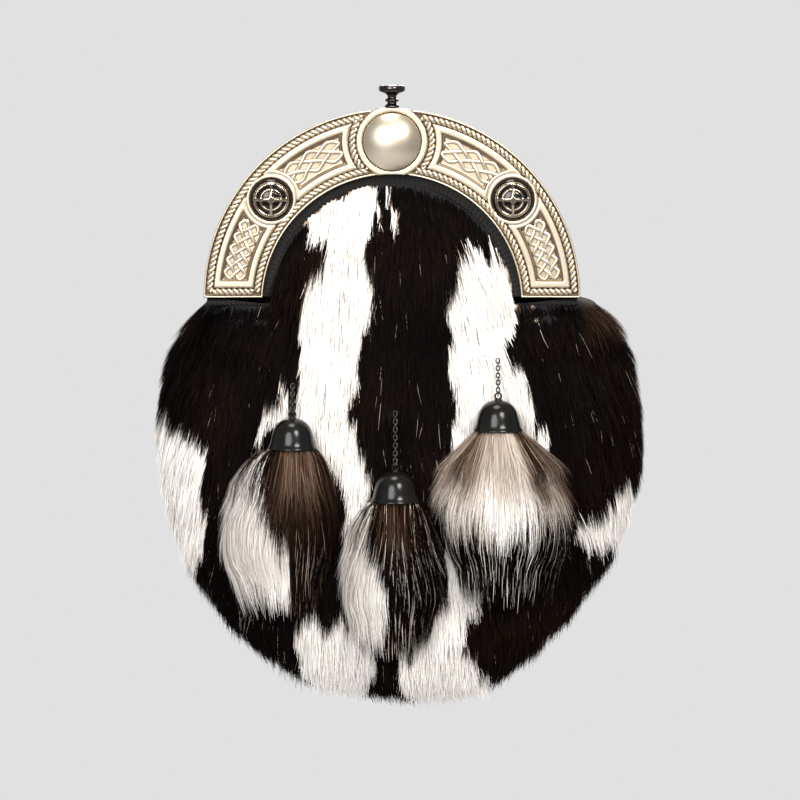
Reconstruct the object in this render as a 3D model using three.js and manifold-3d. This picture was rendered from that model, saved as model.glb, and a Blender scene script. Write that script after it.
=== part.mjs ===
// A full-dress sporran: a fur-covered pouch that hangs from two loops on its back, with a half-round
// cast metal cantle over its mouth and three fur tassels on short chains down its front.
// Millimetres, +Z up, the fur front facing -Y, the bare leather back facing +Y.
// The pieces are drawn from the cantle's bottom line (z = 0) and from the back face of the pouch
// (y = 0, with depths counted forward from it). The last step moves the origin to the hanging line.
import * as THREE from 'three';
import { mergeVertices } from 'three/addons/utils/BufferGeometryUtils.js';
import Module from 'manifold-3d';

const wasm = await Module();
wasm.setup();

// ---- driving dimensions -------------------------------------------------------------------

const GAP = 0.3; // between pieces that touch

// cantle
const CANTLE_OUTER_R = 77.5;
const CANTLE_INNER_R = 53.3;
const CANTLE_INNER_DROP = 2.5; // the inner arc is centred this far below the bottom line
const CANTLE_PLATE = 3;
const CANTLE_RELIEF = 1.1; // how far the borders and frames stand off the sunk ground
const OUTER_BORDER = 6.2;
const INNER_BORDER = 4.6;
const END_BORDER = 4.2;

// centre disc and its ring
const DISC_Z = 64.2;
const DISC_R = 11.75;
const DISC_DOME = 5.2;
const DISC_RING_R = 14.8;
const DISC_RING_HEIGHT = 1.6;
const PLATFORM_Z = 77.9; // the ring is cut level here, under the knob

// studs
const STUD_ANGLE = 39.2; // degrees above the bottom line
const STUD_AT_R = 64;
const STUD_R = 8.5;
const STUD_DOME = 4.6;
const STUD_RING_R = 10.3;

// knob on the top edge
const KNOB_CAP_R = 5.4;
const KNOB_HEIGHT = 9.2;

// leather and fur
const BACK_PANEL = 2;
const MOUTH_GAP = 11.7; // clear space between the back panel and the front wall at the mouth
const FRONT_LEATHER = 2;
const FACING = 1.6;
const FACING_SHOWS = 3.7; // how far the facing shows inside the arch and under the cantle's ends
const FUR_CLEARS = 0.8; // the fur starts to swell this far from the facing's edge
const HIDE_ARCH_R = 75;
const FUR_WALL = 8.5; // leather and pressed fur together
const FUR_SWELL = 23; // how far the fur front stands forward of the arch's leather
const FUR_RISE = 42; // the distance over which it swells
const EDGE_ROUND = 40; // how far in from the outline the fur turns back towards the seam
const LEATHER_ROUND = 5; // the same for the bare leather beside the mouth
const INNER_ROUND = 0.8; // the inside turns back over this share of those distances
const MOUTH_FROM_Z = 14; // the sides are closed up to here, and the mouth is fully open
const MOUTH_BLEND = 14; // this much higher
const PANEL_INSET = 4.5; // the fur's edge stands this far past the back panel
const POUCH_CENTRE_Z = -42;

const BACK_Y = 0;
const PANEL_FRONT = BACK_PANEL;
const SEAM = PANEL_FRONT + GAP; // depth where the fur wall meets the back panel
const LEATHER_BACK = SEAM + MOUTH_GAP;
const LEATHER_FRONT = LEATHER_BACK + FRONT_LEATHER;
const FACING_BACK = LEATHER_FRONT + GAP;
const FACING_FRONT = FACING_BACK + FACING;
const CANTLE_BACK = FACING_FRONT + GAP;
const CANTLE_GROUND = CANTLE_BACK + CANTLE_PLATE;

// back loops, through which the belt chain's strap passes
const LOOP_X = 50;
const LOOP_Z = 16; // height of the hanging line
const LOOP_WIDTH = 16;
const LOOP_HEIGHT = 44;
const LOOP_STANDS = 7;
const LOOP_LEATHER = 2;
const LOOP_FOOT = 6;

// The fur outline below the cantle, from the left shoulder round the bottom to the right shoulder.
const FUR_OUTLINE = [
  { x: -80.5, z: -3.5 },
  { x: -91, z: -18 },
  { x: -97, z: -42 },
  { x: -97.8, z: -68 },
  { x: -91.5, z: -97 },
  { x: -79, z: -123 },
  { x: -60, z: -144 },
  { x: -34, z: -159.5 },
  { x: -4, z: -165.5 },
  { x: 27, z: -165.5 },
  { x: 52, z: -155.5 },
  { x: 74, z: -134 },
  { x: 92, z: -109 },
  { x: 102.5, z: -80 },
  { x: 104.2, z: -52 },
  { x: 99.5, z: -22 },
  { x: 88, z: -4 },
];

// The tassels: where the bell hangs, and the fur's outer form below it. Each row of a form is a
// level below the bell's top, with the left and right edges measured from the bell's axis.
const TASSELS = [
  {
    name: 'left', x: -40.6, bellTop: -47.3, chainTop: -35,
    form: [
      { down: 13.6, left: 9.3, right: 9.3 },
      { down: 19, left: 20, right: 15 },
      { down: 27, left: 25.5, right: 17 },
      { down: 42, left: 30, right: 17.5 },
      { down: 58, left: 31, right: 15 },
      { down: 70, left: 24, right: 10 },
      { down: 76, left: 12, right: 2 },
    ],
  },
  {
    name: 'middle', x: 1.4, bellTop: -69, chainTop: -46,
    form: [
      { down: 13.6, left: 9.3, right: 9.3 },
      { down: 18, left: 18, right: 15 },
      { down: 26, left: 20.5, right: 16.5 },
      { down: 40, left: 22.5, right: 18.5 },
      { down: 54, left: 23, right: 19.5 },
      { down: 65, left: 19, right: 14 },
      { down: 71, left: 9, right: 5 },
    ],
  },
  {
    name: 'right', x: 43.3, bellTop: -39.9, chainTop: -25,
    form: [
      { down: 13.6, left: 9.3, right: 9.3 },
      { down: 20, left: 16, right: 17 },
      { down: 30, left: 23, right: 25 },
      { down: 44, left: 25.8, right: 30 },
      { down: 60, left: 23, right: 31 },
      { down: 73, left: 15, right: 24 },
      { down: 81, left: 6, right: 12 },
    ],
  },
];
const FALL = 30; // the fur settles against the pouch this far below the bell
const BELL_R = 10.2;
const BELL_DOME = 13; // from the bell's top to its lip
const BELL_WALL = 1.1;
const EYE_R = 1.5;
const EYE_TOP = 2.9; // above the bell's top
const CHAIN_R = 0.9;
const TASSEL_DEPTH = 0.45; // the form's depth for each millimetre of its width
const THINNEST_TIP = 4.5; // half the depth of the fur's lowest levels
const TIP_ROUND = 1.5; // the lowest level closes to a point this much lower
const TASSEL_SINKS = 5; // how far bells and tassels press into the pouch's fur

// ---- materials ----------------------------------------------------------------------------

const finish = (color, roughness, metalness) =>
  new THREE.MeshStandardMaterial({ color, roughness, metalness });
const antiqueSilver = finish(0xcfc4ae, 0.36, 1);
const darkMetal = finish(0x2a2825, 0.25, 1);
const blackLeather = finish(0x17130f, 0.55, 0);
const darkFur = finish(0x1d1512, 0.8, 0);
const mixedFur = finish(0x5a4a3e, 0.8, 0);

// ---- helpers ------------------------------------------------------------------------------

const group = new THREE.Group();

function place(name, geometry, material) {
  const mesh = new THREE.Mesh(geometry, material);
  mesh.name = name;
  group.add(mesh);
  return mesh;
}

function toSolid(geometry) {
  const bare = geometry.clone();
  bare.deleteAttribute('normal');
  bare.deleteAttribute('uv');
  const merged = mergeVertices(bare.index ? bare.toNonIndexed() : bare, 1e-4);
  return new wasm.Manifold(new wasm.Mesh({
    numProp: 3,
    vertProperties: new Float32Array(merged.attributes.position.array),
    triVerts: new Uint32Array(merged.index.array),
  }));
}

function toGeometry(solid) {
  const { vertProperties, triVerts } = solid.getMesh();
  return meshOf(Array.from(vertProperties), Array.from(triVerts));
}

function meshOf(positions, triangles) {
  const geometry = new THREE.BufferGeometry();
  geometry.setAttribute('position', new THREE.Float32BufferAttribute(positions, 3));
  geometry.setIndex(triangles);
  geometry.computeVertexNormals();
  return geometry;
}

// Extrudes an outline drawn as seen from the front, from one depth to a greater one.
function plate(shape, fromDepth, toDepth, curveSegments = 40) {
  const geometry = new THREE.ExtrudeGeometry(shape, {
    depth: toDepth - fromDepth, bevelEnabled: false, curveSegments,
  });
  geometry.rotateX(Math.PI / 2);
  geometry.translate(0, -fromDepth, 0);
  return geometry;
}

// Turns a profile of radius and height pairs about the height's axis. The profile closes on itself
// or starts and ends on the axis.
function turned(profile, segments = 40) {
  const points = profile.map(([radius, height]) => new THREE.Vector2(radius, height));
  const geometry = new THREE.LatheGeometry(points, segments);
  geometry.rotateX(Math.PI / 2);
  return geometry;
}

// The same, standing forward from a point of the front: the profile's heights are depths.
function turnedForward(profile, x, z, depth, segments = 40) {
  const geometry = turned(profile, segments);
  geometry.rotateX(Math.PI / 2);
  geometry.translate(x, -depth, z);
  return geometry;
}

// An arc of radius and height pairs from the rim of a dome up to its top.
function domeProfile(radius, rimHeight, topHeight, steps) {
  const rise = topHeight - rimHeight;
  const sphereR = (radius * radius + rise * rise) / (2 * rise);
  const profile = [];
  for (let i = 0; i <= steps; i += 1) {
    const r = radius * (1 - i / steps);
    profile.push([r, rimHeight + rise - sphereR + Math.sqrt(sphereR * sphereR - r * r)]);
  }
  return profile;
}

const clamp01 = (value) => Math.min(Math.max(value, 0), 1);
const smooth = (value) => clamp01(value) ** 2 * (3 - 2 * clamp01(value));
const quarterRound = (value) => Math.sqrt(1 - (1 - clamp01(value)) ** 2);
const mix = (a, b, share) => a + (b - a) * share;

// ---- cantle, centre disc, studs and knob --------------------------------------------------

// A half ring between two arcs about centres on the middle line, closed along the bottom line.
function archShape(outerR, innerR, innerDrop, bottom = 0) {
  const shape = new THREE.Shape();
  const outerStart = Math.asin(bottom / outerR);
  const innerStart = Math.asin((bottom + innerDrop) / innerR);
  shape.absarc(0, 0, outerR, outerStart, Math.PI - outerStart, false);
  shape.absarc(0, -innerDrop, innerR, Math.PI - innerStart, innerStart, true);
  shape.closePath();
  return shape;
}

function disc(radius, x, z) {
  const shape = new THREE.Shape();
  shape.absarc(x, z, radius, 0, Math.PI * 2, false);
  return shape;
}

// The ring round the centre disc, cut level at the top where the knob stands on it.
function ringShape() {
  const shape = new THREE.Shape();
  const cut = Math.asin((PLATFORM_Z - DISC_Z) / DISC_RING_R);
  shape.absarc(0, DISC_Z, DISC_RING_R, Math.PI - cut, Math.PI * 2 + cut, false);
  shape.closePath();
  return shape;
}

const studCentre = (side) => {
  const angle = THREE.MathUtils.degToRad(STUD_ANGLE);
  return { x: side * STUD_AT_R * Math.cos(angle), z: STUD_AT_R * Math.sin(angle) };
};

function cantle() {
  const raised = CANTLE_GROUND + CANTLE_RELIEF;
  const shape = archShape(CANTLE_OUTER_R, CANTLE_INNER_R, CANTLE_INNER_DROP);
  const whole = toSolid(plate(shape, CANTLE_BACK, raised));
  const field = archShape(
    CANTLE_OUTER_R - OUTER_BORDER, CANTLE_INNER_R + INNER_BORDER, CANTLE_INNER_DROP, END_BORDER,
  );
  let solid = whole.subtract(toSolid(plate(field, CANTLE_GROUND, raised + 1)));
  const ringFront = raised + DISC_RING_HEIGHT - CANTLE_RELIEF;
  solid = solid.add(toSolid(plate(ringShape(), CANTLE_BACK, ringFront)));
  for (const side of [-1, 1]) {
    const { x, z } = studCentre(side);
    solid = solid.add(toSolid(plate(disc(STUD_RING_R, x, z), CANTLE_BACK, raised, 32)));
  }
  return { geometry: toGeometry(solid), ringFront, raised };
}

const cantlePiece = cantle();
place('cantle', cantlePiece.geometry, antiqueSilver);

const discBase = cantlePiece.ringFront + GAP;
place(
  'centre_disc',
  turnedForward([[0, 0], [DISC_R, 0], ...domeProfile(DISC_R, 0.8, DISC_DOME, 6)], 0, DISC_Z, discBase),
  antiqueSilver,
);

for (const [name, side] of [['stud_left', -1], ['stud_right', 1]]) {
  const { x, z } = studCentre(side);
  const profile = [[0, 0], [STUD_R, 0], ...domeProfile(STUD_R, 0.9, STUD_DOME, 5)];
  place(name, turnedForward(profile, x, z, cantlePiece.raised + GAP, 24), darkMetal);
}

function knob() {
  const middle = (CANTLE_BACK + cantlePiece.raised) / 2;
  const geometry = turned([
    [0, 0], [2.95, 0], [2.95, 0.8], [2.1, 1.6], [2.1, 2.3], [2.9, 2.9], [2.1, 3.5], [2.1, 5.2],
    [KNOB_CAP_R - 0.4, 6.6], [KNOB_CAP_R, 7.3], [KNOB_CAP_R, 8.3],
    [KNOB_CAP_R - 1, KNOB_HEIGHT - 0.2], [0, KNOB_HEIGHT],
  ], 24);
  geometry.translate(0, -middle, PLATFORM_Z + GAP);
  return geometry;
}
place('knob', knob(), darkMetal);

// ---- leather facing behind the cantle -----------------------------------------------------

const facingShape = archShape(
  CANTLE_OUTER_R - 1, CANTLE_INNER_R - FACING_SHOWS, CANTLE_INNER_DROP, -FACING_SHOWS,
);
place('leather_facing', plate(facingShape, FACING_BACK, FACING_FRONT, 48), blackLeather);

// ---- the pouch's fur front ----------------------------------------------------------------

// The outline seen from the front: the arch behind the cantle, then the fur's outline.
function pouchOutline() {
  const points = [];
  const archSteps = 26;
  for (let i = 0; i <= archSteps; i += 1) {
    const angle = Math.PI * (i / archSteps);
    points.push(new THREE.Vector2(HIDE_ARCH_R * Math.cos(angle), HIDE_ARCH_R * Math.sin(angle)));
  }
  const lower = new THREE.SplineCurve([
    new THREE.Vector2(-HIDE_ARCH_R, 0),
    ...FUR_OUTLINE.map((row) => new THREE.Vector2(row.x, row.z)),
    new THREE.Vector2(HIDE_ARCH_R, 0),
  ]);
  points.push(...lower.getSpacedPoints(48).slice(1, -1));
  return points;
}

// How far a point of the front is from the leather facing, which holds the fur down.
function freeDistance(x, z) {
  const innerR = CANTLE_INNER_R - FACING_SHOWS - FUR_CLEARS;
  const end = -FACING_SHOWS - FUR_CLEARS;
  if (z > end) return Math.max(innerR - Math.hypot(x, z + CANTLE_INNER_DROP), 0);
  return Math.hypot(Math.max(innerR - Math.abs(x), 0), end - z);
}

// How deep the fur's outer form stands in front of the back face, away from the outline.
function furDepth(x, z) {
  const fullness = mix(0.62, 1, smooth((50 - z) / 120));
  return LEATHER_FRONT + FUR_SWELL * fullness * quarterRound(freeDistance(x, z) / FUR_RISE);
}

// 1 where the outline is the fur's, 0 where it is the bare leather's behind the cantle.
const furness = (z) => 1 - smooth((z + 12) / 12);

// 1 where the front wall ends in the mouth's free edge, 0 where it turns back to the seam.
const openness = (z) => smooth((z - MOUTH_FROM_Z) / MOUTH_BLEND);

const turnBack = (edgeZ) => mix(LEATHER_ROUND, EDGE_ROUND, furness(edgeZ));

// The depth of the fur's outer form at a point some way in from the outline.
function outerDepth(x, z, inFromEdge, edgeZ) {
  const rim = mix(SEAM, LEATHER_FRONT, openness(edgeZ));
  return rim + (furDepth(x, z) - rim) * quarterRound(inFromEdge / turnBack(edgeZ));
}

function innerDepth(x, z, inFromEdge, edgeZ) {
  const rim = mix(SEAM, LEATHER_BACK, openness(edgeZ));
  const swell = furDepth(x, z) - LEATHER_FRONT;
  const wall = mix(FRONT_LEATHER, FUR_WALL, clamp01(swell / FUR_WALL));
  const front = Math.max(furDepth(x, z) - wall, LEATHER_BACK);
  return rim + (front - rim) * quarterRound(inFromEdge / (turnBack(edgeZ) * INNER_ROUND));
}

function pouchFront(outline) {
  const centre = new THREE.Vector2(0, POUCH_CENTRE_Z);
  const rings = 9;
  const count = outline.length;
  const positions = [];
  const triangles = [];
  const skin = (isInner, depthAt) => {
    const first = positions.length / 3;
    outline.forEach((edge) => {
      const reach = edge.distanceTo(centre);
      const walled = mix(FRONT_LEATHER, FUR_WALL, furness(edge.y)) * (1 - openness(edge.y));
      const share = 1 - (isInner ? walled : 0) / reach;
      const rim = centre.clone().lerp(edge, share);
      for (let k = 1; k <= rings; k += 1) {
        const s = 1 - (1 - k / rings) ** 1.7;
        const p = centre.clone().lerp(rim, s);
        positions.push(p.x, -depthAt(p.x, p.y, (1 - s) * reach * share, edge.y), p.y);
      }
    });
    positions.push(centre.x, -depthAt(centre.x, centre.y, EDGE_ROUND, -100), centre.y);
    return first;
  };
  const outer = skin(false, outerDepth);
  const inner = skin(true, innerDepth);
  const at = (first, i, k) => first + (i % count) * rings + k;
  for (let i = 0; i < count; i += 1) {
    for (let k = 0; k < rings - 1; k += 1) {
      const cornersOf = (skin) => [at(skin, i, k), at(skin, i, k + 1), at(skin, i + 1, k + 1), at(skin, i + 1, k)];
      const [a, b, c, d] = cornersOf(outer);
      triangles.push(a, b, c, a, c, d);
      const [e, f, g, h] = cornersOf(inner);
      triangles.push(e, g, f, e, h, g);
    }
    triangles.push(outer + count * rings, at(outer, i, 0), at(outer, i + 1, 0));
    triangles.push(inner + count * rings, at(inner, i + 1, 0), at(inner, i, 0));
    const [p, q] = [at(outer, i, rings - 1), at(outer, i + 1, rings - 1)];
    const [r, s] = [at(inner, i, rings - 1), at(inner, i + 1, rings - 1)];
    triangles.push(p, r, s, p, s, q);
  }
  return meshOf(positions, triangles);
}

// The fur lies behind the facing, so what would stand through it or the cantle is cut away.
function clearOfFacing(solid) {
  const seat = archShape(
    CANTLE_OUTER_R + GAP, CANTLE_INNER_R - FACING_SHOWS - GAP, CANTLE_INNER_DROP, -FACING_SHOWS - GAP,
  );
  const forward = LEATHER_FRONT + 2 * FUR_SWELL;
  return solid.subtract(toSolid(plate(seat, LEATHER_FRONT, forward)));
}

const outline = pouchOutline();

// ---- the back panel and its loops ---------------------------------------------------------

function backPanel() {
  const centre = new THREE.Vector2(0, POUCH_CENTRE_Z);
  const points = outline.map((edge) => {
    const reach = edge.distanceTo(centre);
    return centre.clone().lerp(edge, 1 - mix(GAP, PANEL_INSET, furness(edge.y)) / reach);
  });
  return plate(new THREE.Shape(points), BACK_Y, PANEL_FRONT);
}
place('back_panel', backPanel(), blackLeather);

// A strip of leather sewn down at both ends that stands off the back between them.
function backLoop(x) {
  const half = LOOP_HEIGHT / 2;
  const inner = LOOP_STANDS - LOOP_LEATHER;
  const side = new THREE.Shape();
  side.moveTo(GAP, -half);
  side.lineTo(GAP + LOOP_LEATHER, -half);
  side.lineTo(GAP + LOOP_LEATHER, -half + LOOP_FOOT - 1);
  side.lineTo(GAP + LOOP_STANDS, -half + LOOP_FOOT + 2);
  side.lineTo(GAP + LOOP_STANDS, half - LOOP_FOOT - 2);
  side.lineTo(GAP + LOOP_LEATHER, half - LOOP_FOOT + 1);
  side.lineTo(GAP + LOOP_LEATHER, half);
  side.lineTo(GAP, half);
  side.lineTo(GAP, half - LOOP_FOOT);
  side.lineTo(GAP + inner, half - LOOP_FOOT - 4);
  side.lineTo(GAP + inner, -half + LOOP_FOOT + 4);
  side.lineTo(GAP, -half + LOOP_FOOT);
  side.closePath();
  const geometry = new THREE.ExtrudeGeometry(side, { depth: LOOP_WIDTH, bevelEnabled: false });
  geometry.applyMatrix4(new THREE.Matrix4().makeBasis(
    new THREE.Vector3(0, 1, 0), new THREE.Vector3(0, 0, 1), new THREE.Vector3(1, 0, 0),
  ));
  geometry.translate(x - LOOP_WIDTH / 2, 0, LOOP_Z);
  return geometry;
}
place('back_loop_left', backLoop(-LOOP_X), blackLeather);
place('back_loop_right', backLoop(LOOP_X), blackLeather);

// ---- tassels ------------------------------------------------------------------------------

// Distance in from the outline, along the ray from the pouch's centre.
function depthOfFront(x, z) {
  const centre = new THREE.Vector2(0, POUCH_CENTRE_Z);
  const p = new THREE.Vector2(x, z);
  const angle = Math.atan2(z - centre.y, x - centre.x);
  let best = outline[0];
  let nearest = Infinity;
  for (const edge of outline) {
    const turn = Math.abs(Math.atan2(edge.y - centre.y, edge.x - centre.x) - angle);
    const apart = Math.min(turn, Math.PI * 2 - turn);
    if (apart < nearest) {
      nearest = apart;
      best = edge;
    }
  }
  return outerDepth(x, z, Math.max(best.distanceTo(centre) - p.distanceTo(centre), 0), best.y);
}

// The greatest depth of the pouch's front across a tassel at one level.
function frontAcross(x, left, right, z) {
  let deepest = 0;
  for (let share = 0; share <= 1; share += 0.125) {
    deepest = Math.max(deepest, depthOfFront(mix(x - left, x + right, share), z));
  }
  return deepest;
}

function bellDepth(tassel) {
  const lip = tassel.bellTop - BELL_DOME;
  return frontAcross(tassel.x, BELL_R, BELL_R, lip) + BELL_R - TASSEL_SINKS;
}

// A hollow cap with a rounded top, a lip and an eye for the chain.
function bell(tassel) {
  const outerWall = [[BELL_R, -BELL_DOME], [BELL_R, -BELL_DOME + 1.2], [BELL_R - 0.7, -BELL_DOME + 1.6],
    [BELL_R - 1.1, -7.4], [BELL_R - 3.2, -3.4], [BELL_R - 6, -1.3]];
  const eye = [[1, 0], [EYE_R, 1.5], [0, EYE_TOP]];
  const innerWall = outerWall.slice(2).reverse().map(([r, h]) => [r - BELL_WALL, h - 0.7]);
  const profile = [[0, -2.6], ...innerWall, [BELL_R - 1.8, -BELL_DOME], ...outerWall, ...eye];
  const geometry = turned(profile, 24);
  geometry.translate(tassel.x, -bellDepth(tassel), tassel.bellTop);
  return geometry;
}

// A straight fall of fine chain, as a tube from the fur down to the bell's eye.
function chain(tassel) {
  const bottom = new THREE.Vector3(tassel.x, -bellDepth(tassel), tassel.bellTop + EYE_TOP + 2 * GAP);
  const topDepth = depthOfFront(tassel.x, tassel.chainTop) + CHAIN_R + 1.2;
  const top = new THREE.Vector3(tassel.x, -topDepth, tassel.chainTop);
  const middle = top.clone().lerp(bottom, 0.5).add(new THREE.Vector3(0, 0.5, -0.3));
  const route = new THREE.CatmullRomCurve3([top, middle, bottom]);
  const section = new THREE.Shape();
  section.absarc(0, 0, CHAIN_R, 0, Math.PI * 2, false);
  return new THREE.ExtrudeGeometry(section, { extrudePath: route, steps: 8, curveSegments: 4 });
}

// The fur's outer form: a neck inside the bell, then oval levels that lie against the pouch.
function tasselForm(tassel, grow = 0) {
  const sides = 20;
  const lip = BELL_DOME;
  const neck = [
    { down: 4, left: 3.4, right: 3.4 },
    { down: 7.5, left: 6.4, right: 6.4 },
    { down: lip - 0.4, left: BELL_R - 2.3, right: BELL_R - 2.3 },
    { down: lip + GAP, left: BELL_R - 2.3, right: BELL_R - 2.3 },
  ];
  const spline = new THREE.CatmullRomCurve3(
    tassel.form.map((row) => new THREE.Vector3(row.left, row.down, row.right)), false, 'centripetal',
  );
  const levels = spline.getPoints(10).map((p) => ({ down: p.y, left: p.x, right: p.z }));
  const bellAt = bellDepth(tassel);
  const rows = [...neck, ...levels].map((row, index) => {
    const z = tassel.bellTop - row.down;
    const halfWidth = (row.left + row.right) / 2;
    const inNeck = index < neck.length;
    const halfDepth = inNeck ? halfWidth : Math.max(halfWidth * TASSEL_DEPTH, THINNEST_TIP);
    const against = frontAcross(tassel.x, row.left, row.right, z) + halfDepth - TASSEL_SINKS;
    const depth = inNeck ? bellAt : Math.max(mix(bellAt, against, smooth((row.down - lip) / FALL)), against);
    const x = tassel.x + (row.right - row.left) / 2;
    return { z, x, halfWidth: halfWidth + grow, halfDepth: halfDepth + grow, depth };
  });
  const positions = [];
  const triangles = [];
  for (const row of rows) {
    for (let i = 0; i < sides; i += 1) {
      const angle = (i / sides) * Math.PI * 2;
      const x = row.x + row.halfWidth * Math.cos(angle);
      const y = -row.depth + row.halfDepth * Math.sin(angle);
      positions.push(x, y, row.z);
    }
  }
  const last = rows.length - 1;
  for (let level = 0; level < last; level += 1) {
    for (let i = 0; i < sides; i += 1) {
      const next = (i + 1) % sides;
      const [a, b] = [level * sides + i, level * sides + next];
      const [c, d] = [a + sides, b + sides];
      triangles.push(a, d, b, a, c, d);
    }
  }
  const top = positions.length / 3;
  positions.push(rows[0].x, -rows[0].depth, rows[0].z + grow);
  positions.push(rows[last].x, -rows[last].depth, rows[last].z - TIP_ROUND - grow);
  for (let i = 0; i < sides; i += 1) {
    const next = (i + 1) % sides;
    triangles.push(top, i, next);
    triangles.push(top + 1, last * sides + next, last * sides + i);
  }
  return meshOf(positions, triangles);
}

for (const tassel of TASSELS) {
  place(`chain_${tassel.name}`, chain(tassel), darkMetal);
  place(`bell_${tassel.name}`, bell(tassel), darkMetal);
  place(`tassel_${tassel.name}`, tasselForm(tassel), mixedFur);
}

// The hollow that a bell and its tassel press into the pouch's fur.
function pressedHollow(tassel) {
  const grown = BELL_R + GAP;
  const dome = turned([[0, -BELL_DOME - GAP], [grown, -BELL_DOME - GAP], [grown, -7], [grown - 4, 0], [0, 5]], 32);
  dome.translate(tassel.x, -bellDepth(tassel), tassel.bellTop);
  return toSolid(dome).add(toSolid(tasselForm(tassel, GAP)));
}

let furWall = clearOfFacing(toSolid(pouchFront(outline)));
for (const tassel of TASSELS) furWall = furWall.subtract(pressedHollow(tassel));
place('pouch_front', toGeometry(furWall), darkFur);

// ---- origin on the hanging line -----------------------------------------------------------

group.position.set(0, 0, -LOOP_Z);
group.updateMatrixWorld(true);

export default group;
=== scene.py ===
# %% [markdown]
# # A full-dress sporran
# This lesson dresses a finished construction model of a sporran: a fur-fronted pouch under a half-round
# cast cantle, with three fur tassels. The model comes in as a fixed frame, and every piece made here is
# laid over it, so the first step loads the frame and keeps its box.

# %% Load the frame
import math

import bpy
import numpy as np
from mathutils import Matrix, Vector
from mathutils.bvhtree import BVHTree


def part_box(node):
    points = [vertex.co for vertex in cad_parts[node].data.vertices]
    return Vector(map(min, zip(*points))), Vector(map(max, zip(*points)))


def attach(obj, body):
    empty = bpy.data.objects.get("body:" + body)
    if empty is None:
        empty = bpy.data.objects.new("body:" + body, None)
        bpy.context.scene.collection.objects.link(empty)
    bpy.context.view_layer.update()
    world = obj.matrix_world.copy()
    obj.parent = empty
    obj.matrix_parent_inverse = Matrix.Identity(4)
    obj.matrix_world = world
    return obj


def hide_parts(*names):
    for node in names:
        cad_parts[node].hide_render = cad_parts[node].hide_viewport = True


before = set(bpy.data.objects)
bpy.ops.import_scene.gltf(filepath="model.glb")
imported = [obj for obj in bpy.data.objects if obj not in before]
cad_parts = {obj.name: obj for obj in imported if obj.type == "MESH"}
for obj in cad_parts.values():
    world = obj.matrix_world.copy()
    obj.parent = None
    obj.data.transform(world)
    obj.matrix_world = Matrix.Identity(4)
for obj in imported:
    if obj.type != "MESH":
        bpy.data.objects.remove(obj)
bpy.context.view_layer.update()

# %% [markdown]
# A metalworker measures a cantle in millimetres from its bottom line, so the pieces are drawn that way:
# x to the right, y backwards from the leather back, z up from the cantle's bottom line. One function
# turns such points into the frame's metres. The sizes that matter come from the frame's own boxes.

# %% The maker's millimetres
MM = 0.001
BASE_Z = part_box("cantle")[0].z


def to_row(points):
    """Maker's millimetres to metres in the frame."""
    return np.asarray(points, float) * MM + np.array([0.0, 0.0, BASE_Z])


def box_mm(node):
    """A construction node's low and high corners in the maker's millimetres."""
    low, high = (np.array(corner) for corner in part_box(node))
    shift = np.array([0.0, 0.0, BASE_Z])
    return (low - shift) / MM, (high - shift) / MM


CANTLE_LOW, CANTLE_HIGH = box_mm("cantle")
CANTLE_R = CANTLE_HIGH[0]
CANTLE_BACK = -CANTLE_HIGH[1]
FACING_LOW, FACING_HIGH = box_mm("leather_facing")
DISC_LOW, DISC_HIGH = box_mm("centre_disc")
DISC_R = (DISC_HIGH[0] - DISC_LOW[0]) / 2
DISC_Z = (DISC_HIGH[2] + DISC_LOW[2]) / 2
print(f"cantle radius {CANTLE_R:.1f} mm, its back {CANTLE_BACK:.1f} mm in front of the pouch's back")

# %% [markdown]
# Nearly everything here is a grid of points joined by four-sided faces: a casting's relief, a tube, a
# turned shape, a hair. Three helpers make the faces, gather small meshes into one, and turn the arrays
# into a Blender object that rides on the frame's only body.

# %% Grids, heaps and pieces
def grid_faces(rows, columns, wrap_rows=False, wrap_columns=False):
    """Faces of a rows-by-columns grid of points numbered row by row."""
    r = np.arange(rows if wrap_rows else rows - 1)
    c = np.arange(columns if wrap_columns else columns - 1)
    r, c = np.meshgrid(r, c, indexing="ij")
    r2, c2 = (r + 1) % rows, (c + 1) % columns
    return np.stack([r * columns + c, r * columns + c2, r2 * columns + c2, r2 * columns + c], -1).reshape(-1, 4)


class Heap:
    """Gathers small meshes, with their named numbers per point, into one."""

    def __init__(self):
        self.points, self.faces, self.floats, self.count = [], [], {}, 0

    def add(self, points, faces, **floats):
        points = np.asarray(points, float).reshape(-1, 3)
        self.faces += [[i + self.count for i in face] for face in np.asarray(faces, dtype=object).tolist()]
        for name, values in floats.items():
            self.floats.setdefault(name, []).append(np.broadcast_to(values, (len(points),)))
        self.points.append(points)
        self.count += len(points)

    def arrays(self):
        floats = {name: np.concatenate(values) for name, values in self.floats.items()}
        return np.concatenate(self.points), self.faces, floats


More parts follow.
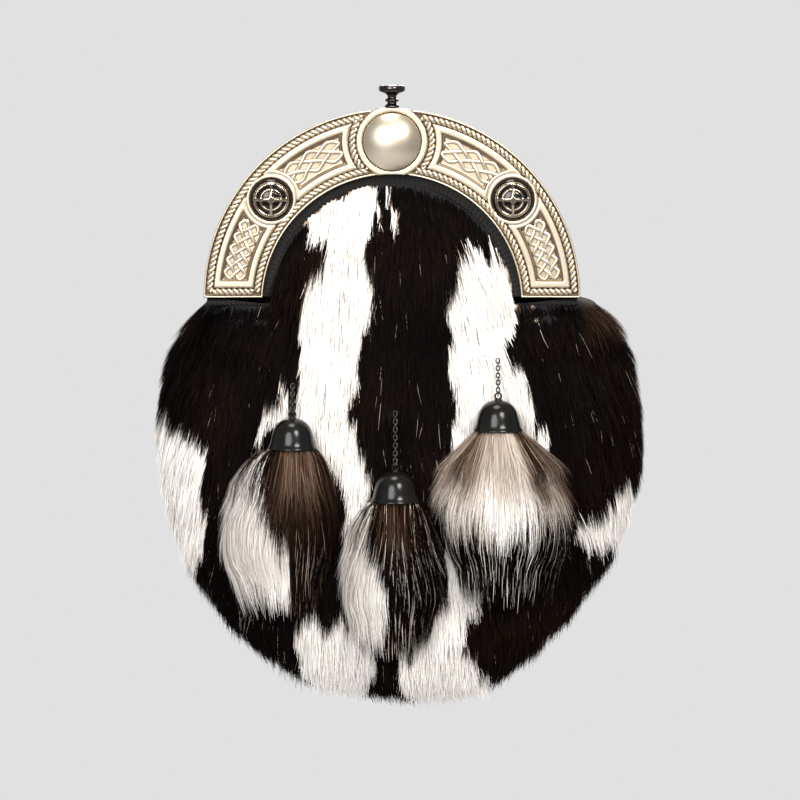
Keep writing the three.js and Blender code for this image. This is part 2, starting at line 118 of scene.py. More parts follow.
def new_piece(name, points, faces, finish, stands_for=(), floats=None, smooth=True):
    """Makes a mesh piece from the maker's millimetres, with its finish, and hides the construction nodes it stands for.
    """
    mesh = bpy.data.meshes.new(name)
    where = to_row(points)
    if isinstance(faces, np.ndarray):
        mesh.vertices.add(len(where))
        mesh.vertices.foreach_set("co", where.astype(np.float32).ravel())
        mesh.loops.add(faces.size)
        mesh.polygons.add(len(faces))
        mesh.polygons.foreach_set("loop_start", np.arange(0, faces.size, faces.shape[1], dtype=np.int32))
        mesh.polygons.foreach_set("vertices", faces.astype(np.int32).ravel())
    else:
        mesh.from_pydata(where.tolist(), [], faces)
    mesh.polygons.foreach_set("use_smooth", np.full(len(mesh.polygons), smooth))
    mesh.update(calc_edges=True)
    for key, values in (floats or {}).items():
        layer = mesh.attributes.new(key, "FLOAT", "POINT")
        layer.data.foreach_set("value", np.asarray(values, np.float32).ravel())
    piece = bpy.data.objects.new(name, mesh)
    bpy.context.scene.collection.objects.link(piece)
    mesh.materials.append(finish)
    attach(piece, "root")
    if stands_for:
        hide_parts(*stands_for)
    triangles = sum(len(p.vertices) - 2 for p in mesh.polygons) if len(mesh.polygons) < 60000 else 2 * len(faces)
    print(f"{name}: {triangles} triangles")
    return piece


# %% [markdown]
# Turned pieces (the centre disc, the knob, the bells) are profiles swept about an axis, and wires, rope
# strands, links and stitches are an oval section swept along a path. Sweeping in code keeps the meshes
# closed, and the oval can be flattened as a cast strand is.

# %% Turning and sweeping
def turned(profile, segments=64):
    """Turns (radius, height) rows about the height's axis; rows on the axis become one point."""
    points, faces, rings = [], [], []
    turn = np.linspace(0, 2 * np.pi, segments, endpoint=False)
    for radius, height in profile:
        first = len(points)
        if radius < 1e-6:
            points.append((0.0, 0.0, height))
            rings.append([first] * segments)
        else:
            points += [(radius * math.cos(a), radius * math.sin(a), height) for a in turn]
            rings.append(list(range(first, first + segments)))
    for lower, upper in zip(rings, rings[1:]):
        for i in range(segments):
            j = (i + 1) % segments
            corners = [lower[i], lower[j], upper[j], upper[i]]
            faces.append(list(dict.fromkeys(corners)))
    return np.array(points), [face for face in faces if len(face) > 2]


def facing_front(points, x, depth, z):
    """Lays a turned shape on its back: its heights become depths in front of a plane."""
    points = np.asarray(points)
    return np.column_stack([points[:, 0] + x, -depth - points[:, 2], points[:, 1] + z])


def swept(path, width, height, sides=7, closed=False, out=(0, -1, 0)):
    """Sweeps an oval along a path. Its height points along out as far as the path allows."""
    path = np.asarray(path, float)
    if closed:
        tangent = np.roll(path, -1, 0) - np.roll(path, 1, 0)
    else:
        tangent = np.gradient(path, axis=0)
    tangent /= np.linalg.norm(tangent, axis=1, keepdims=True)
    out = np.broadcast_to(np.asarray(out, float), path.shape)
    across = np.cross(tangent, out)
    across /= np.maximum(np.linalg.norm(across, axis=1, keepdims=True), 1e-9)
    up = np.cross(across, tangent)
    angle = np.linspace(0, 2 * np.pi, sides, endpoint=False)
    width = np.broadcast_to(width, (len(path),))[:, None, None]
    height = np.broadcast_to(height, (len(path),))[:, None, None]
    ring = across[:, None] * np.cos(angle)[None, :, None] * width + up[:, None] * np.sin(angle)[None, :, None] * height
    points = (path[:, None] + ring).reshape(-1, 3)
    faces = grid_faces(len(path), sides, wrap_rows=closed, wrap_columns=True)[:, ::-1].tolist()
    if not closed:
        last = (len(path) - 1) * sides
        faces += [list(range(sides)), list(range(last, last + sides))[::-1]]
    return points, faces


def smoothstep(low, high, value):
    share = np.clip((value - low) / (high - low), 0, 1)
    return share * share * (3 - 2 * share)


# %% [markdown]
# Fur and leather need numbers that wander smoothly over a surface. Blender's noise works one point at a
# time, so a small value noise on a repeating table of seeded numbers does it for whole arrays.

# %% Wandering numbers
LATTICE = np.random.default_rng(7).uniform(-1, 1, (256, 256))


def wander(u, v, shift=0.0):
    """Smooth numbers from -1 to 1 over the plane, one unit between free values."""
    u, v = np.asarray(u, float) + shift * 17.3, np.asarray(v, float) + shift * 9.1
    i, j = np.floor(u).astype(int), np.floor(v).astype(int)
    a, b = u - i, v - j
    a, b = a * a * (3 - 2 * a), b * b * (3 - 2 * b)
    at = lambda p, q: LATTICE[p % 256, q % 256]
    low = at(i, j) * (1 - a) + at(i + 1, j) * a
    high = at(i, j + 1) * (1 - a) + at(i + 1, j + 1) * a
    return low * (1 - b) + high * b


# %% [markdown]
# ## Finishes
# A material is a small calculation over the surface. Writing it as arithmetic keeps it readable, so one
# class wraps a node's output and gives it plus, minus, times and power, and a second holds the material
# and makes any other node from its type, its settings and the values or links of its sockets.

# %% A wire and a finish
class Wire:
    """One output socket. Arithmetic on it adds Math nodes."""

    def __init__(self, finish, socket):
        self.finish, self.socket = finish, socket

    def maths(self, operation, first, second):
        return self.finish.node("ShaderNodeMath", {"operation": operation}, {0: first, 1: second})

    def __add__(self, other):
        return self.maths("ADD", self, other)

    def __mul__(self, other):
        return self.maths("MULTIPLY", self, other)

    def __sub__(self, other):
        return self.maths("SUBTRACT", self, other)

    def __rsub__(self, other):
        return self.maths("SUBTRACT", other, self)

    def __pow__(self, other):
        return self.maths("POWER", self, other)

    __radd__ = __add__
    __rmul__ = __mul__


class Finish:
    """A material made of nodes, ending in a Principled surface."""

    def __init__(self, name, **surface):
        self.material = bpy.data.materials.new(name)
        self.material.use_nodes = True
        self.tree = self.material.node_tree
        self.tree.nodes.clear()
        self.surface = self.tree.nodes.new("ShaderNodeBsdfPrincipled")
        end = self.tree.nodes.new("ShaderNodeOutputMaterial")
        self.tree.links.new(self.surface.outputs[0], end.inputs["Surface"])
        self.set(**surface)

    def set(self, **surface):
        """Sets the surface's sockets by their names in small letters with underscores."""
        for key, value in surface.items():
            self.fill(self.surface.inputs[key.replace("_", " ").title().replace("Ior", "IOR")], value)

    def fill(self, socket, value):
        if isinstance(value, Wire):
            self.tree.links.new(value.socket, socket)
        else:
            socket.default_value = value

    def node(self, kind, settings=None, sockets=None, output=0):
        made = self.tree.nodes.new(kind)
        for key, value in (settings or {}).items():
            if key == "stops":
                self.stops(made.color_ramp, value)
            else:
                setattr(made, key, value)
        for key, value in (sockets or {}).items():
            self.fill(made.inputs[key], value)
        return Wire(self, made.outputs[output])

    def stops(self, ramp, stops):
        while len(ramp.elements) < len(stops):
            ramp.elements.new(1.0)
        for element, (position, colour) in zip(ramp.elements, stops):
            element.position = position
            element.color = (*colour, 1.0)

    def number(self, name):
        """A number stored on the mesh's points."""
        return self.node("ShaderNodeAttribute", {"attribute_name": name}, output="Fac")

    def ramp(self, factor, *stops):
        return self.node("ShaderNodeValToRGB", {"stops": stops}, {"Fac": factor})

    def noise(self, scale, detail=3.0, stretch=(1, 1, 1)):
        where = self.node("ShaderNodeTexCoord", output="Object")
        where = self.node("ShaderNodeMapping", {}, {"Vector": where, "Scale": stretch})
        return self.node("ShaderNodeTexNoise", {}, {"Vector": where, "Scale": scale, "Detail": detail})

    def mixed(self, factor, a, b, blend="MIX"):
        return self.node("ShaderNodeMix", {"data_type": "RGBA", "blend_type": blend}, {0: factor, 6: a, 7: b}, 2)

    def bump(self, height, strength, distance):
        return self.node("ShaderNodeBump", {}, {"Height": height, "Strength": strength, "Distance": distance})


# %% [markdown]
# The cantle is cast in a warm antique silver. The caster leaves a fine sandy skin, the polisher brightens
# the high parts, and dark tarnish stays in the low ones. The mesh carries a number called sunk, 0 on the
# high parts and 1 in the recesses, and the colour and the roughness follow it. On the cantle plate, sunk
# also carries painted shade on the slopes of the stepped frame round each panel.

# %% Antique silver
def antique_silver():
    f = Finish("antique_silver", metallic=1.0)
    sunk = f.number("sunk")
    cloud = f.noise(60, 4)
    skin = f.noise(900, 2)
    # The colour follows sunk: tarnish in the recesses, and painted shade on the cantle's stepped slopes.
    worn = f.ramp(sunk + (cloud - 0.5) * 0.35,
                  (0.0, (0.70, 0.605, 0.465)), (0.28, (0.58, 0.485, 0.355)), (0.52, (0.23, 0.165, 0.108)),
                  (1.0, (0.045, 0.03, 0.019)))
    f.set(base_color=worn, roughness=sunk * 0.18 + cloud * 0.12 + 0.34, normal=f.bump(skin, 0.12, 0.00006))
    return f.material


def satin_silver():
    f = Finish("satin_silver", metallic=1.0)
    cloud = f.noise(45, 3)
    rub = f.noise(700, 2)
    colour = f.ramp(cloud, (0.3, (0.60, 0.51, 0.385)), (0.75, (0.78, 0.69, 0.555)))
    f.set(base_color=colour, roughness=cloud * 0.14 + 0.30, normal=f.bump(rub, 0.05, 0.00004))
    return f.material


SILVER = antique_silver()
SATIN = satin_silver()

# %% [markdown]
# The studs, the knob and the bells are polished and plated nearly black. A dark metal under a thin clear
# coat keeps the body dark and the highlights sharp. A little wandering roughness shows handling.

# %% Dark metals
def dark_plate(name, tint, base_roughness):
    f = Finish(name, metallic=1.0, coat_weight=0.5, coat_roughness=0.04)
    smear = f.noise(160, 3)
    deep, high = tint
    f.set(base_color=f.ramp(smear, (0.3, deep), (0.8, high)), roughness=smear * 0.1 + base_roughness,
          normal=f.bump(f.noise(1200, 1), 0.03, 0.00003))
    return f.material


DARK = dark_plate("dark_plate", ((0.035, 0.030, 0.027), (0.075, 0.064, 0.055)), 0.12)
CHAIN = dark_plate("black_chain", ((0.02, 0.018, 0.016), (0.05, 0.045, 0.04)), 0.25)


def stud_plate():
    f = Finish("stud_plate", metallic=1.0, coat_weight=0.3, coat_roughness=0.05)
    worn = f.number("sunk") + (f.noise(500, 3) - 0.5) * 0.3
    f.set(base_color=f.ramp(worn, (0.05, (0.42, 0.35, 0.27)), (0.45, (0.20, 0.16, 0.12)), (0.8, (0.022, 0.018, 0.015))),
          roughness=worn * 0.08 + 0.10)
    return f.material


def black_lacquer():
    f = Finish("black_lacquer", specular_ior_level=0.25, coat_weight=0.0)
    smear = f.noise(220, 3)
    f.set(base_color=f.ramp(smear, (0.3, (0.004, 0.0035, 0.003)), (0.8, (0.010, 0.009, 0.008))),
          roughness=smear * 0.08 + 0.15)
    return f.material


STUD_PLATE = stud_plate()
LACQUER = black_lacquer()

# %% [markdown]
# The leather is dyed black with a fine pebbled grain. A voronoi pattern makes the pebbles and a slow
# noise makes the dye uneven. Its thread is the same black, a little lighter where it catches light.

# %% Leather and thread
def black_leather(name, deep, high, grain_scale):
    f = Finish(name, specular_ior_level=0.22)
    where = f.node("ShaderNodeTexCoord", output="Object")
    pebble = f.node("ShaderNodeTexVoronoi", {}, {"Vector": where, "Scale": grain_scale})
    dye = f.noise(70, 4)
    f.set(base_color=f.ramp(dye, (0.25, deep), (0.8, high)), roughness=dye * 0.2 + 0.42,
          normal=f.bump(pebble + f.noise(2500, 2) * 0.4, 0.35, 0.00018))
    return f.material


LEATHER = black_leather("black_leather", (0.004, 0.0033, 0.003), (0.011, 0.009, 0.008), 1500)
LINING = black_leather("flesh_side", (0.030, 0.021, 0.015), (0.060, 0.043, 0.031), 2600)


def waxed_thread():
    f = Finish("waxed_thread", roughness=0.6)
    f.set(base_color=f.ramp(f.noise(800, 2), (0.3, (0.02, 0.017, 0.015)), (0.8, (0.06, 0.052, 0.045))))
    return f.material


THREAD = waxed_thread()

# %% [markdown]
# Hair is coloured one strand at a time. Each strand carries a tone, from 0 for black-brown through tan
# to 1 for cream white, a number along from root to tip, and a chance of its own, so that neighbours
# differ a little as real ones do.

# %% Hair
HAIR_STOPS = (
    (0.0, (0.0006, 0.0004, 0.0003)), (0.10, (0.0022, 0.0012, 0.0009)), (0.24, (0.030, 0.014, 0.008)),
    (0.42, (0.14, 0.085, 0.055)), (0.62, (0.38, 0.30, 0.235)), (0.82, (0.74, 0.66, 0.58)), (1.0, (0.98, 0.95, 0.92)),
)


def hair(name, roughness):
    f = Finish(name, specular_ior_level=0.03)
    tone, along, chance = f.number("tone"), f.number("along"), f.number("chance")
    # Along each hair the roots are a little darker, as painted shade, and the tips a little lighter, as painted sheen.
    shade = f.ramp(tone + (chance - 0.5) * 0.07 + (along - 0.5) * 0.05, *HAIR_STOPS)
    dull = f.mixed(f.node("ShaderNodeMath", {"operation": "MULTIPLY"}, {0: chance, 1: 0.16}), shade,
                   (0.5, 0.42, 0.36, 1.0), "MULTIPLY")
    f.set(base_color=dull, roughness=chance * 0.15 + roughness)
    return f.material


HAIR = hair("hair_on_hide", 0.5)
TASSEL_HAIR = hair("tassel_hair", 0.5)

# %% [markdown]
# ## The cantle
# The real cantle is one casting: a half ring with a thin plain edge, a twisted rope border all round, a
# raised plain band, and four sunk panels with knotwork. A relief like that is a height over a plane, so
# the casting is a fine fan-shaped grid whose height comes from a few distances: to the outer arc, the
# inner arc, the bottom line, the centre ring and the studs.

# %% Cantle sizes
INNER_R = 53.3
INNER_DROP = 2.5
PLATFORM_Z = CANTLE_HIGH[2]
RING_R = 14.8
STUD_R = 8.5
STUD_RING_R = 10.3
STUDS = [((low + high) / 2)[[0, 2]] for low, high in (box_mm("stud_left"), box_mm("stud_right"))]
PLAIN_EDGE = 0.9
ROPE_BAND = 3.2
PLAIN_BAND = 2.3
GROUND, ROPE_FLOOR, BAND_TOP, EDGE_TOP, RING_TOP = 2.7, 3.0, 3.95, 3.85, 4.55
LEDGE = 3.25


def border_distances(x, z):
    """Distances in from the outer arc, the inner arc, the bottom line, the centre ring and the studs."""
    outer = CANTLE_R - np.hypot(x, z)
    inner = np.hypot(x, z + INNER_DROP) - INNER_R
    ring = np.hypot(x, z - DISC_Z) - RING_R
    stud = np.minimum(*[np.hypot(x - sx, z - sz) for sx, sz in STUDS]) - STUD_RING_R
    return outer, inner, z, ring, stud


def cantle_height(x, z):
    """The casting's height above its back, and how sunk each point is, with painted shade on the frame's slopes."""
    outer, inner, bottom, ring, stud = border_distances(x, z)
    edge = np.minimum(np.minimum(outer, inner), bottom)
    border = PLAIN_EDGE + ROPE_BAND
    band = np.minimum(edge - border, ring - ROPE_BAND)
    panel = np.minimum(band - PLAIN_BAND, stud - 1.5)
    height = BAND_TOP + (LEDGE - BAND_TOP) * smoothstep(0.0, 0.75, panel)
    height += (GROUND - LEDGE) * smoothstep(1.15, 1.5, panel)
    rope = smoothstep(0.0, -0.25, band)
    height += (ROPE_FLOOR - BAND_TOP) * rope
    plain = smoothstep(PLAIN_EDGE, PLAIN_EDGE - 0.3, edge)
    height += (EDGE_TOP - height) * plain
    height -= 0.35 * smoothstep(0.35, 0.0, edge)
    groove = np.exp(-((band - 0.05) / 0.22) ** 2) + np.exp(-((stud - 0.25) / 0.3) ** 2) * (stud < 1.2)
    height -= 0.3 * groove * (ring > 0)
    seat = smoothstep(0.15, -0.15, stud)
    height += (BAND_TOP + 0.2 - height) * seat
    height -= 1.2 * smoothstep(STUD_R - STUD_RING_R + 0.5, STUD_R - STUD_RING_R + 0.1, stud)
    collar = smoothstep(0.1, -0.35, ring)
    height += (RING_TOP - height) * collar
    height -= 0.9 * smoothstep(DISC_R + 0.55 - RING_R, DISC_R + 0.1 - RING_R, ring)
    # The step term darkens the two slopes of the stepped frame round each panel: painted shade, not tarnish.
    step = np.exp(-((panel - 0.55) / 0.42) ** 2) * 0.55 + np.exp(-((panel - 1.35) / 0.3) ** 2) * 0.4
    step *= panel > -0.4
    sunk = np.clip((BAND_TOP - height) / (BAND_TOP - GROUND) * 0.28 + step + 0.45 * groove, 0, 1)
    sunk = np.maximum(sunk, 0.75 * rope * (1 - plain) * (ring > 0.0) * (stud > 0.2))
    return height, sunk


def outer_reach(angle):
    """How far the casting reaches from the middle of the bottom line, with its level top platform."""
    along = DISC_Z * np.sin(angle)
    beyond = along**2 - DISC_Z**2 + RING_R**2
    ring = np.where(beyond > 0, along + np.sqrt(np.maximum(beyond, 0)), 0)
    platform = np.where(np.sin(angle) > 0.5, PLATFORM_Z / np.maximum(np.sin(angle), 0.5), 0)
    return np.maximum(CANTLE_R, np.minimum(ring, platform))


# %% Cantle plate
def cantle_plate(columns=600, rows=66):
    angle = np.linspace(0, np.pi, columns)
    drop = INNER_DROP * np.cos(angle)
    inner = -INNER_DROP * np.sin(angle) + np.sqrt(INNER_R**2 - drop**2)
    outer = outer_reach(angle)
    share = np.linspace(0, 1, rows)
    reach = inner[:, None] + (outer - inner)[:, None] * share[None]
    x, z = reach * np.cos(angle)[:, None], reach * np.sin(angle)[:, None]
    height, sunk = cantle_height(x, z)
    front = np.stack([x, -(CANTLE_BACK + height), z], -1)
    back = front[:, [-1, 0]].copy()
    back[..., 1] = -CANTLE_BACK
    points = np.concatenate([front, back], 1)
    sunk = np.concatenate([sunk, np.full((columns, 2), 0.3)], 1)
    loop = rows + 2
    faces = grid_faces(columns, loop, wrap_columns=True).tolist()
    faces += [list(range(loop))[::-1], list(range((columns - 1) * loop, columns * loop))]
    return points.reshape(-1, 3), faces, sunk.ravel()


points, faces, sunk = cantle_plate()
new_piece("cantle_plate", points, faces, SILVER, ["cantle"], {"sunk": sunk})

# %% [markdown]
# The rope border is a two-strand twist. Each strand is a helix along the middle of the border's channel,
# flattened a little as a casting is. Swept ovals give real over-and-under crossings, where a relief grid
# would only give a saw edge.

# %% Rope borders
ROPE_TURN = 4.6
ROPE_STEP = 0.42
MID_ROPE = PLAIN_EDGE + ROPE_BAND / 2


def even_path(x, z, step):
    """The same line with points a fixed step apart."""
    run = np.concatenate([[0], np.cumsum(np.hypot(np.diff(x), np.diff(z)))])
    count = max(int(run[-1] / step), 4)
    at = np.linspace(0, run[-1], count)
    return np.interp(at, run, x), np.interp(at, run, z), at


def rope(heap, x, z):
    x, z, run = even_path(x, z, ROPE_STEP)
    tx, tz = np.gradient(x), np.gradient(z)
    length = np.hypot(tx, tz)
    nx, nz = tz / length, -tx / length
    for phase in (0, np.pi):
        turn = 2 * np.pi * run / ROPE_TURN + phase
        side, lift = 0.78 * np.sin(turn), 0.42 * np.cos(turn)
        depth = CANTLE_BACK + ROPE_FLOOR + 0.42 + lift
        path = np.stack([x + nx * side, -depth, z + nz * side], -1)
        points, faces = swept(path, 0.72, 0.5, sides=6)
        height = -points[:, 1] - CANTLE_BACK - ROPE_FLOOR
        heap.add(points, faces, sunk=np.clip(0.8 - height * 0.75, 0, 0.85))


def rope_borders():
    heap = Heap()
    turn = np.linspace(0, np.pi, 400)
    outer_r, inner_r, ring_r = CANTLE_R - MID_ROPE, INNER_R + MID_ROPE, RING_R + ROPE_BAND / 2
    lines = [
        (outer_r * np.cos(turn), outer_r * np.sin(turn), "arc"),
        (inner_r * np.cos(turn), inner_r * np.sin(turn) - INNER_DROP, "arc"),
        (ring_r * np.cos(turn * 2), DISC_Z + ring_r * np.sin(turn * 2), "ring"),
    ]
    for x, z, kind in lines:
        outer, inner, bottom, ring, _ = border_distances(x, z)
        keep = (ring > 0.5) & (bottom > MID_ROPE - 0.6) if kind == "arc" else np.minimum(outer, inner) > 3.6
        for side in (-1, 1):
            here = keep & (x * side > 0)
            order = np.argsort(z[here])
            rope(heap, x[here][order], z[here][order])
    for side in (-1, 1):
        x = side * np.linspace(inner_r + 1.2, outer_r - 1.2, 30)
        rope(heap, x, np.full(30, MID_ROPE))
    return heap.arrays()


points, faces, floats = rope_borders()
new_piece("cantle_rope", points, faces, SILVER, floats=floats)

# %% [markdown]
# The knotwork is one endless strand in each panel. A ball bounced about a rectangle draws such a strand:
# its path closes after a set number of bounces, and the strand goes over and under in turn at every
# crossing. The rectangle is then bent to the panel's place on the ring.

# %% Knotwork
KNOT_STRAND = 0.78
PANELS = [
    {"middle": 17.4, "half_angle": 10.6, "radius": 65.3, "half_width": 4.9, "long": 5, "wide": 2},
    {"middle": 60.0, "half_angle": 11.0, "radius": 64.9, "half_width": 5.0, "long": 3, "wide": 2},
]


def zigzag(t):
    """A line that runs from -1 to 1 and back once for each whole number."""
    return 1 - 4 * np.abs(t % 1 - 0.5)


def knot_path(long, wide, between=6):
    """A closed strand's place in a panel from -1 to 1 each way, and its rise, over or under."""
    nodes = 4 * long * wide
    t = np.arange(nodes) / nodes
    u, v = zigzag(wide * t), zigzag(long * t + 1 / (4 * wide))
    du = np.sign(zigzag(wide * (t + 0.4 / nodes)) - zigzag(wide * (t - 0.4 / nodes)))
    dv = np.sign(zigzag(long * (t + 0.4 / nodes) + 1 / (4 * wide)) - zigzag(long * (t - 0.4 / nodes) + 1 / (4 * wide)))
    column = np.round((u + 1) * long).astype(int)
    at_wall = (np.abs(u) > 0.99) | (np.abs(v) > 0.99)
    rise = np.where(at_wall, 0, du * dv * (1 - 2 * (column % 2)))
    control = np.stack([u, v, rise], -1)
    share = np.arange(between) / between
    before, here, after, later = (np.roll(control, s, 0)[:, None] for s in (1, 0, -1, -2))
    s = share[None, :, None]
    curve = 0.5 * (2 * here + (after - before) * s + (2 * before - 5 * here + 4 * after - later) * s**2
                   + (3 * here - before - 3 * after + later) * s**3)
    return curve.reshape(-1, 3)


def knotwork():
    heap = Heap()
    for panel in PANELS:
        u, v, rise = knot_path(panel["long"], panel["wide"]).T
        for side in (-1, 1):
            angle = np.radians(panel["middle"] + u * panel["half_angle"])
            radius = panel["radius"] + v * (panel["half_width"] - KNOT_STRAND)
            depth = CANTLE_BACK + GROUND + 0.42 + 0.26 * rise
            path = np.stack([side * radius * np.cos(angle), -depth, radius * np.sin(angle)], -1)
            points, faces = swept(path, KNOT_STRAND, 0.46, sides=8, closed=True)
            height = -points[:, 1] - CANTLE_BACK - GROUND
            heap.add(points, faces, sunk=np.clip(0.72 - height * 0.95, 0, 0.9))
    return heap.arrays()


points, faces, floats = knotwork()
new_piece("cantle_knotwork", points, faces, SILVER, floats=floats)

# %% [markdown]
# ## Disc, studs and knob
# The centre disc is a plain satin dome. Each stud is a dark dome with two rings and a cross raised on it,
# so it is a height over a round grid. The knob is a turned mushroom: base, bead, neck and cap.

# %% Centre disc
def dome(radius, rim, top, steps):
    rise = top - rim
    sphere = (radius**2 + rise**2) / (2 * rise)
    r = radius * np.cos(np.linspace(0, np.pi / 2, steps))
    return [(float(a), float(rim + rise - sphere + math.sqrt(sphere**2 - a * a))) for a in r[:-1]] + [(0.0, top)]


disc_depth = -DISC_HIGH[1]
disc_top = DISC_HIGH[1] - DISC_LOW[1]
profile = [(0, -0.6), (DISC_R - 0.2, -0.6), (DISC_R, -0.3), (DISC_R, 0.5)] + dome(DISC_R - 0.25, 0.85, disc_top, 20)
points, faces = turned(profile, 96)
new_piece("satin_dome", facing_front(points, 0, disc_depth, DISC_Z), faces, SATIN, ["centre_disc"])


# %% Studs
def stud_relief(x, z):
    """The height of the rings and the cross on a stud's dome."""
    r = np.hypot(x, z)
    bar = lambda centre, half, value: smoothstep(half + 0.22, half - 0.22, np.abs(value - centre))
    rings = np.maximum(bar(6.75, 0.5, r), bar(4.35, 0.42, r) * 0.9)
    arms = np.maximum(bar(0, 0.62, x), bar(0, 0.62, z)) * smoothstep(6.9, 6.4, r)
    boss = smoothstep(1.7, 1.2, r)
    return 0.62 * np.maximum(np.maximum(rings, arms), boss)


def stud(name, node):
    low, high = box_mm(node)
    x0, z0 = (low[0] + high[0]) / 2, (low[2] + high[2]) / 2
    rings, segments = 40, 96
    r = STUD_R * np.linspace(0.004, 1, rings)
    turn = np.linspace(0, 2 * np.pi, segments, endpoint=False)
    x, z = r[:, None] * np.cos(turn), r[:, None] * np.sin(turn)
    sphere = 11.2
    flat = math.sqrt(sphere**2 - STUD_R**2)
    relief = stud_relief(x, z)
    height = np.sqrt(sphere**2 - r[:, None] ** 2) - flat + 0.5 + relief
    sunk = np.append(1 - relief / relief.max(), np.ones((1, segments)), 0).ravel()
    depth = -high[1] - 1.0
    front = np.stack([x0 + x, -depth - height, z0 + z], -1)
    back = front[-1:].copy()
    back[..., 1] = -depth + 0.8
    points = np.concatenate([front, back]).reshape(-1, 3)
    faces = grid_faces(rings + 1, segments, wrap_columns=True)[:, ::-1].tolist()
    faces += [list(range(segments)), list(range(rings * segments, (rings + 1) * segments))[::-1]]
    new_piece(name, points, faces, STUD_PLATE, [node], {"sunk": sunk})


stud("stud_dome_left", "stud_left")
stud("stud_dome_right", "stud_right")

# %% Knob
KNOB_LOW, KNOB_HIGH = box_mm("knob")
KNOB_R = (KNOB_HIGH[0] - KNOB_LOW[0]) / 2
KNOB_TALL = KNOB_HIGH[2] - KNOB_LOW[2]


def rounded(profile, rounds=2):
    """Cuts the corners of a profile in turn, so that a turned shape reads as soft metal."""
    profile = [tuple(map(float, p)) for p in profile]
    for _ in range(rounds):
        cut = [profile[0]]
        for a, b in zip(profile, profile[1:]):
            cut += [tuple(0.75 * p + 0.25 * q for p, q in zip(a, b)), tuple(0.25 * p + 0.75 * q for p, q in zip(a, b))]
        profile = cut + [profile[-1]]
    return [p if p[0] > 1e-4 else (0.0, p[1]) for p in profile]


knob_profile = rounded([
    (0, -0.25), (3.0, -0.25), (3.05, 0.7), (1.9, 1.5), (1.8, 2.2), (2.7, 2.5), (2.9, 2.95), (2.6, 3.4),
    (1.75, 3.7), (1.8, 4.8), (2.9, 5.8), (4.9, 6.4), (KNOB_R, 6.9), (KNOB_R + 0.05, 8.3),
    (4.8, KNOB_TALL - 0.15), (4.2, KNOB_TALL - 0.35), (2, KNOB_TALL - 0.05), (0, KNOB_TALL),
])
points, faces = turned(knob_profile, 48)
points[:, 1] += (KNOB_LOW[1] + KNOB_HIGH[1]) / 2
points[:, 2] += KNOB_LOW[2]
new_piece("top_knob", points, faces, DARK, ["knob"])

# %% [markdown]
# ## The leather facing
# Black leather shows as a narrow border inside the arch and under the cantle's ends. Its free edge is
# pinked: cut into small scallops. The plate's outline is worked out as two lines, inside and outside,
# and the scallops are a short wave along the free one.

# %% Facing with a pinked edge
PINK_PITCH = 2.0
PINK_DEPTH = 0.75
FACING_INNER_R = INNER_R + FACING_LOW[2] - 0.15
FACING_DROP = -FACING_LOW[2]


def scallop(run):
    return PINK_DEPTH * np.abs(np.sin(np.pi * run / PINK_PITCH))


def facing_plate():
    """The arch of the facing as a band, rounded over at its free edge."""
    columns = 1300
    angle = np.linspace(0, np.pi, columns)
    inner = FACING_INNER_R - scallop(angle * FACING_INNER_R)
    outer = np.full(columns, FACING_HIGH[0] - 0.2)
    back, front = -FACING_HIGH[1], -FACING_LOW[1]
    rows = [(0.0, back), (0.0, front - 0.5), (0.25, front - 0.12), (0.8, front), (6, front), (None, front), (None, back)]
    ring = []
    for inset, depth in rows:
        r = outer if inset is None else inner + inset
        centre = 0 if inset is None else -INNER_DROP
        z = r * np.sin(angle) + centre * (1 if inset is not None else 0)
        z = np.maximum(z, -0.2) if inset is None else z
        ring.append(np.stack([r * np.cos(angle), np.full(columns, -depth), z], -1))
    points = np.stack(ring, 1)
    faces = grid_faces(columns, len(rows), wrap_columns=True).tolist()
    faces += [list(range(len(rows)))[::-1], list(range((columns - 1) * len(rows), columns * len(rows)))]
    return points.reshape(-1, 3), faces


def facing_end(side):
    """The strip under one end of the cantle, with scallops along the bottom."""
    columns = 150
    x = np.linspace(FACING_INNER_R - 0.2, FACING_HIGH[0] - 0.2, columns)
    bottom = -FACING_DROP + 0.4 - scallop(x) * 0.8
    back, front = -FACING_HIGH[1], -FACING_LOW[1]
    rows = [(0.0, back), (0.0, front - 0.5), (0.25, front - 0.12), (0.8, front), (None, front), (None, back)]
    ring = [np.stack([side * x, np.full(columns, -depth), np.full(columns, 0.3) if up is None else bottom + up], -1)
            for up, depth in rows]
    points = np.stack(ring, 1)
    faces = grid_faces(columns, len(rows), wrap_columns=True)[:, ::-1].tolist()
    faces += [list(range(len(rows))), list(range((columns - 1) * len(rows), columns * len(rows)))[::-1]]
    if side < 0:
        faces = [face[::-1] for face in faces]
    return points.reshape(-1, 3), faces


heap = Heap()
heap.add(*facing_plate())
for side in (-1, 1):
    heap.add(*facing_end(side))
points, faces, _ = heap.arrays()
new_piece("pinked_facing", points, faces, LEATHER, ["leather_facing"])

# %% [markdown]
# ## The pouch
# The pouch is a hide shell with its hair outside and its flesh side in, open at the top behind the
# cantle. Its true form is in the frame, as a coarse solid. The skin here is read off that solid with
# rays: outline first, then the outer and inner depths on a finer fan of points, smoothed so that no
# facet shows. The outer skin is set in a little, so that the hair fills out to the solid's form.

# %% Read the pouch's form
def tree_of(node):
    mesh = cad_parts[node].data
    mesh.calc_loop_triangles()
    corners = [tuple(v.co) for v in mesh.vertices]
    return BVHTree.FromPolygons(corners, [tuple(t.vertices) for t in mesh.loop_triangles])


def hit(tree, origin, direction):
    """Where a ray in the maker's millimetres first meets a solid, or None."""
    found = tree.ray_cast(Vector(to_row(origin)), Vector(direction))[0]
    return None if found is None else (np.array(found) - np.array([0, 0, BASE_Z])) / MM


FAN = 288
FAN_ANGLE = np.linspace(-np.pi, np.pi, FAN, endpoint=False)
FAN_COS, FAN_SIN = np.cos(FAN_ANGLE)[:, None], np.sin(FAN_ANGLE)[:, None]
CENTRE_Z = -42.0


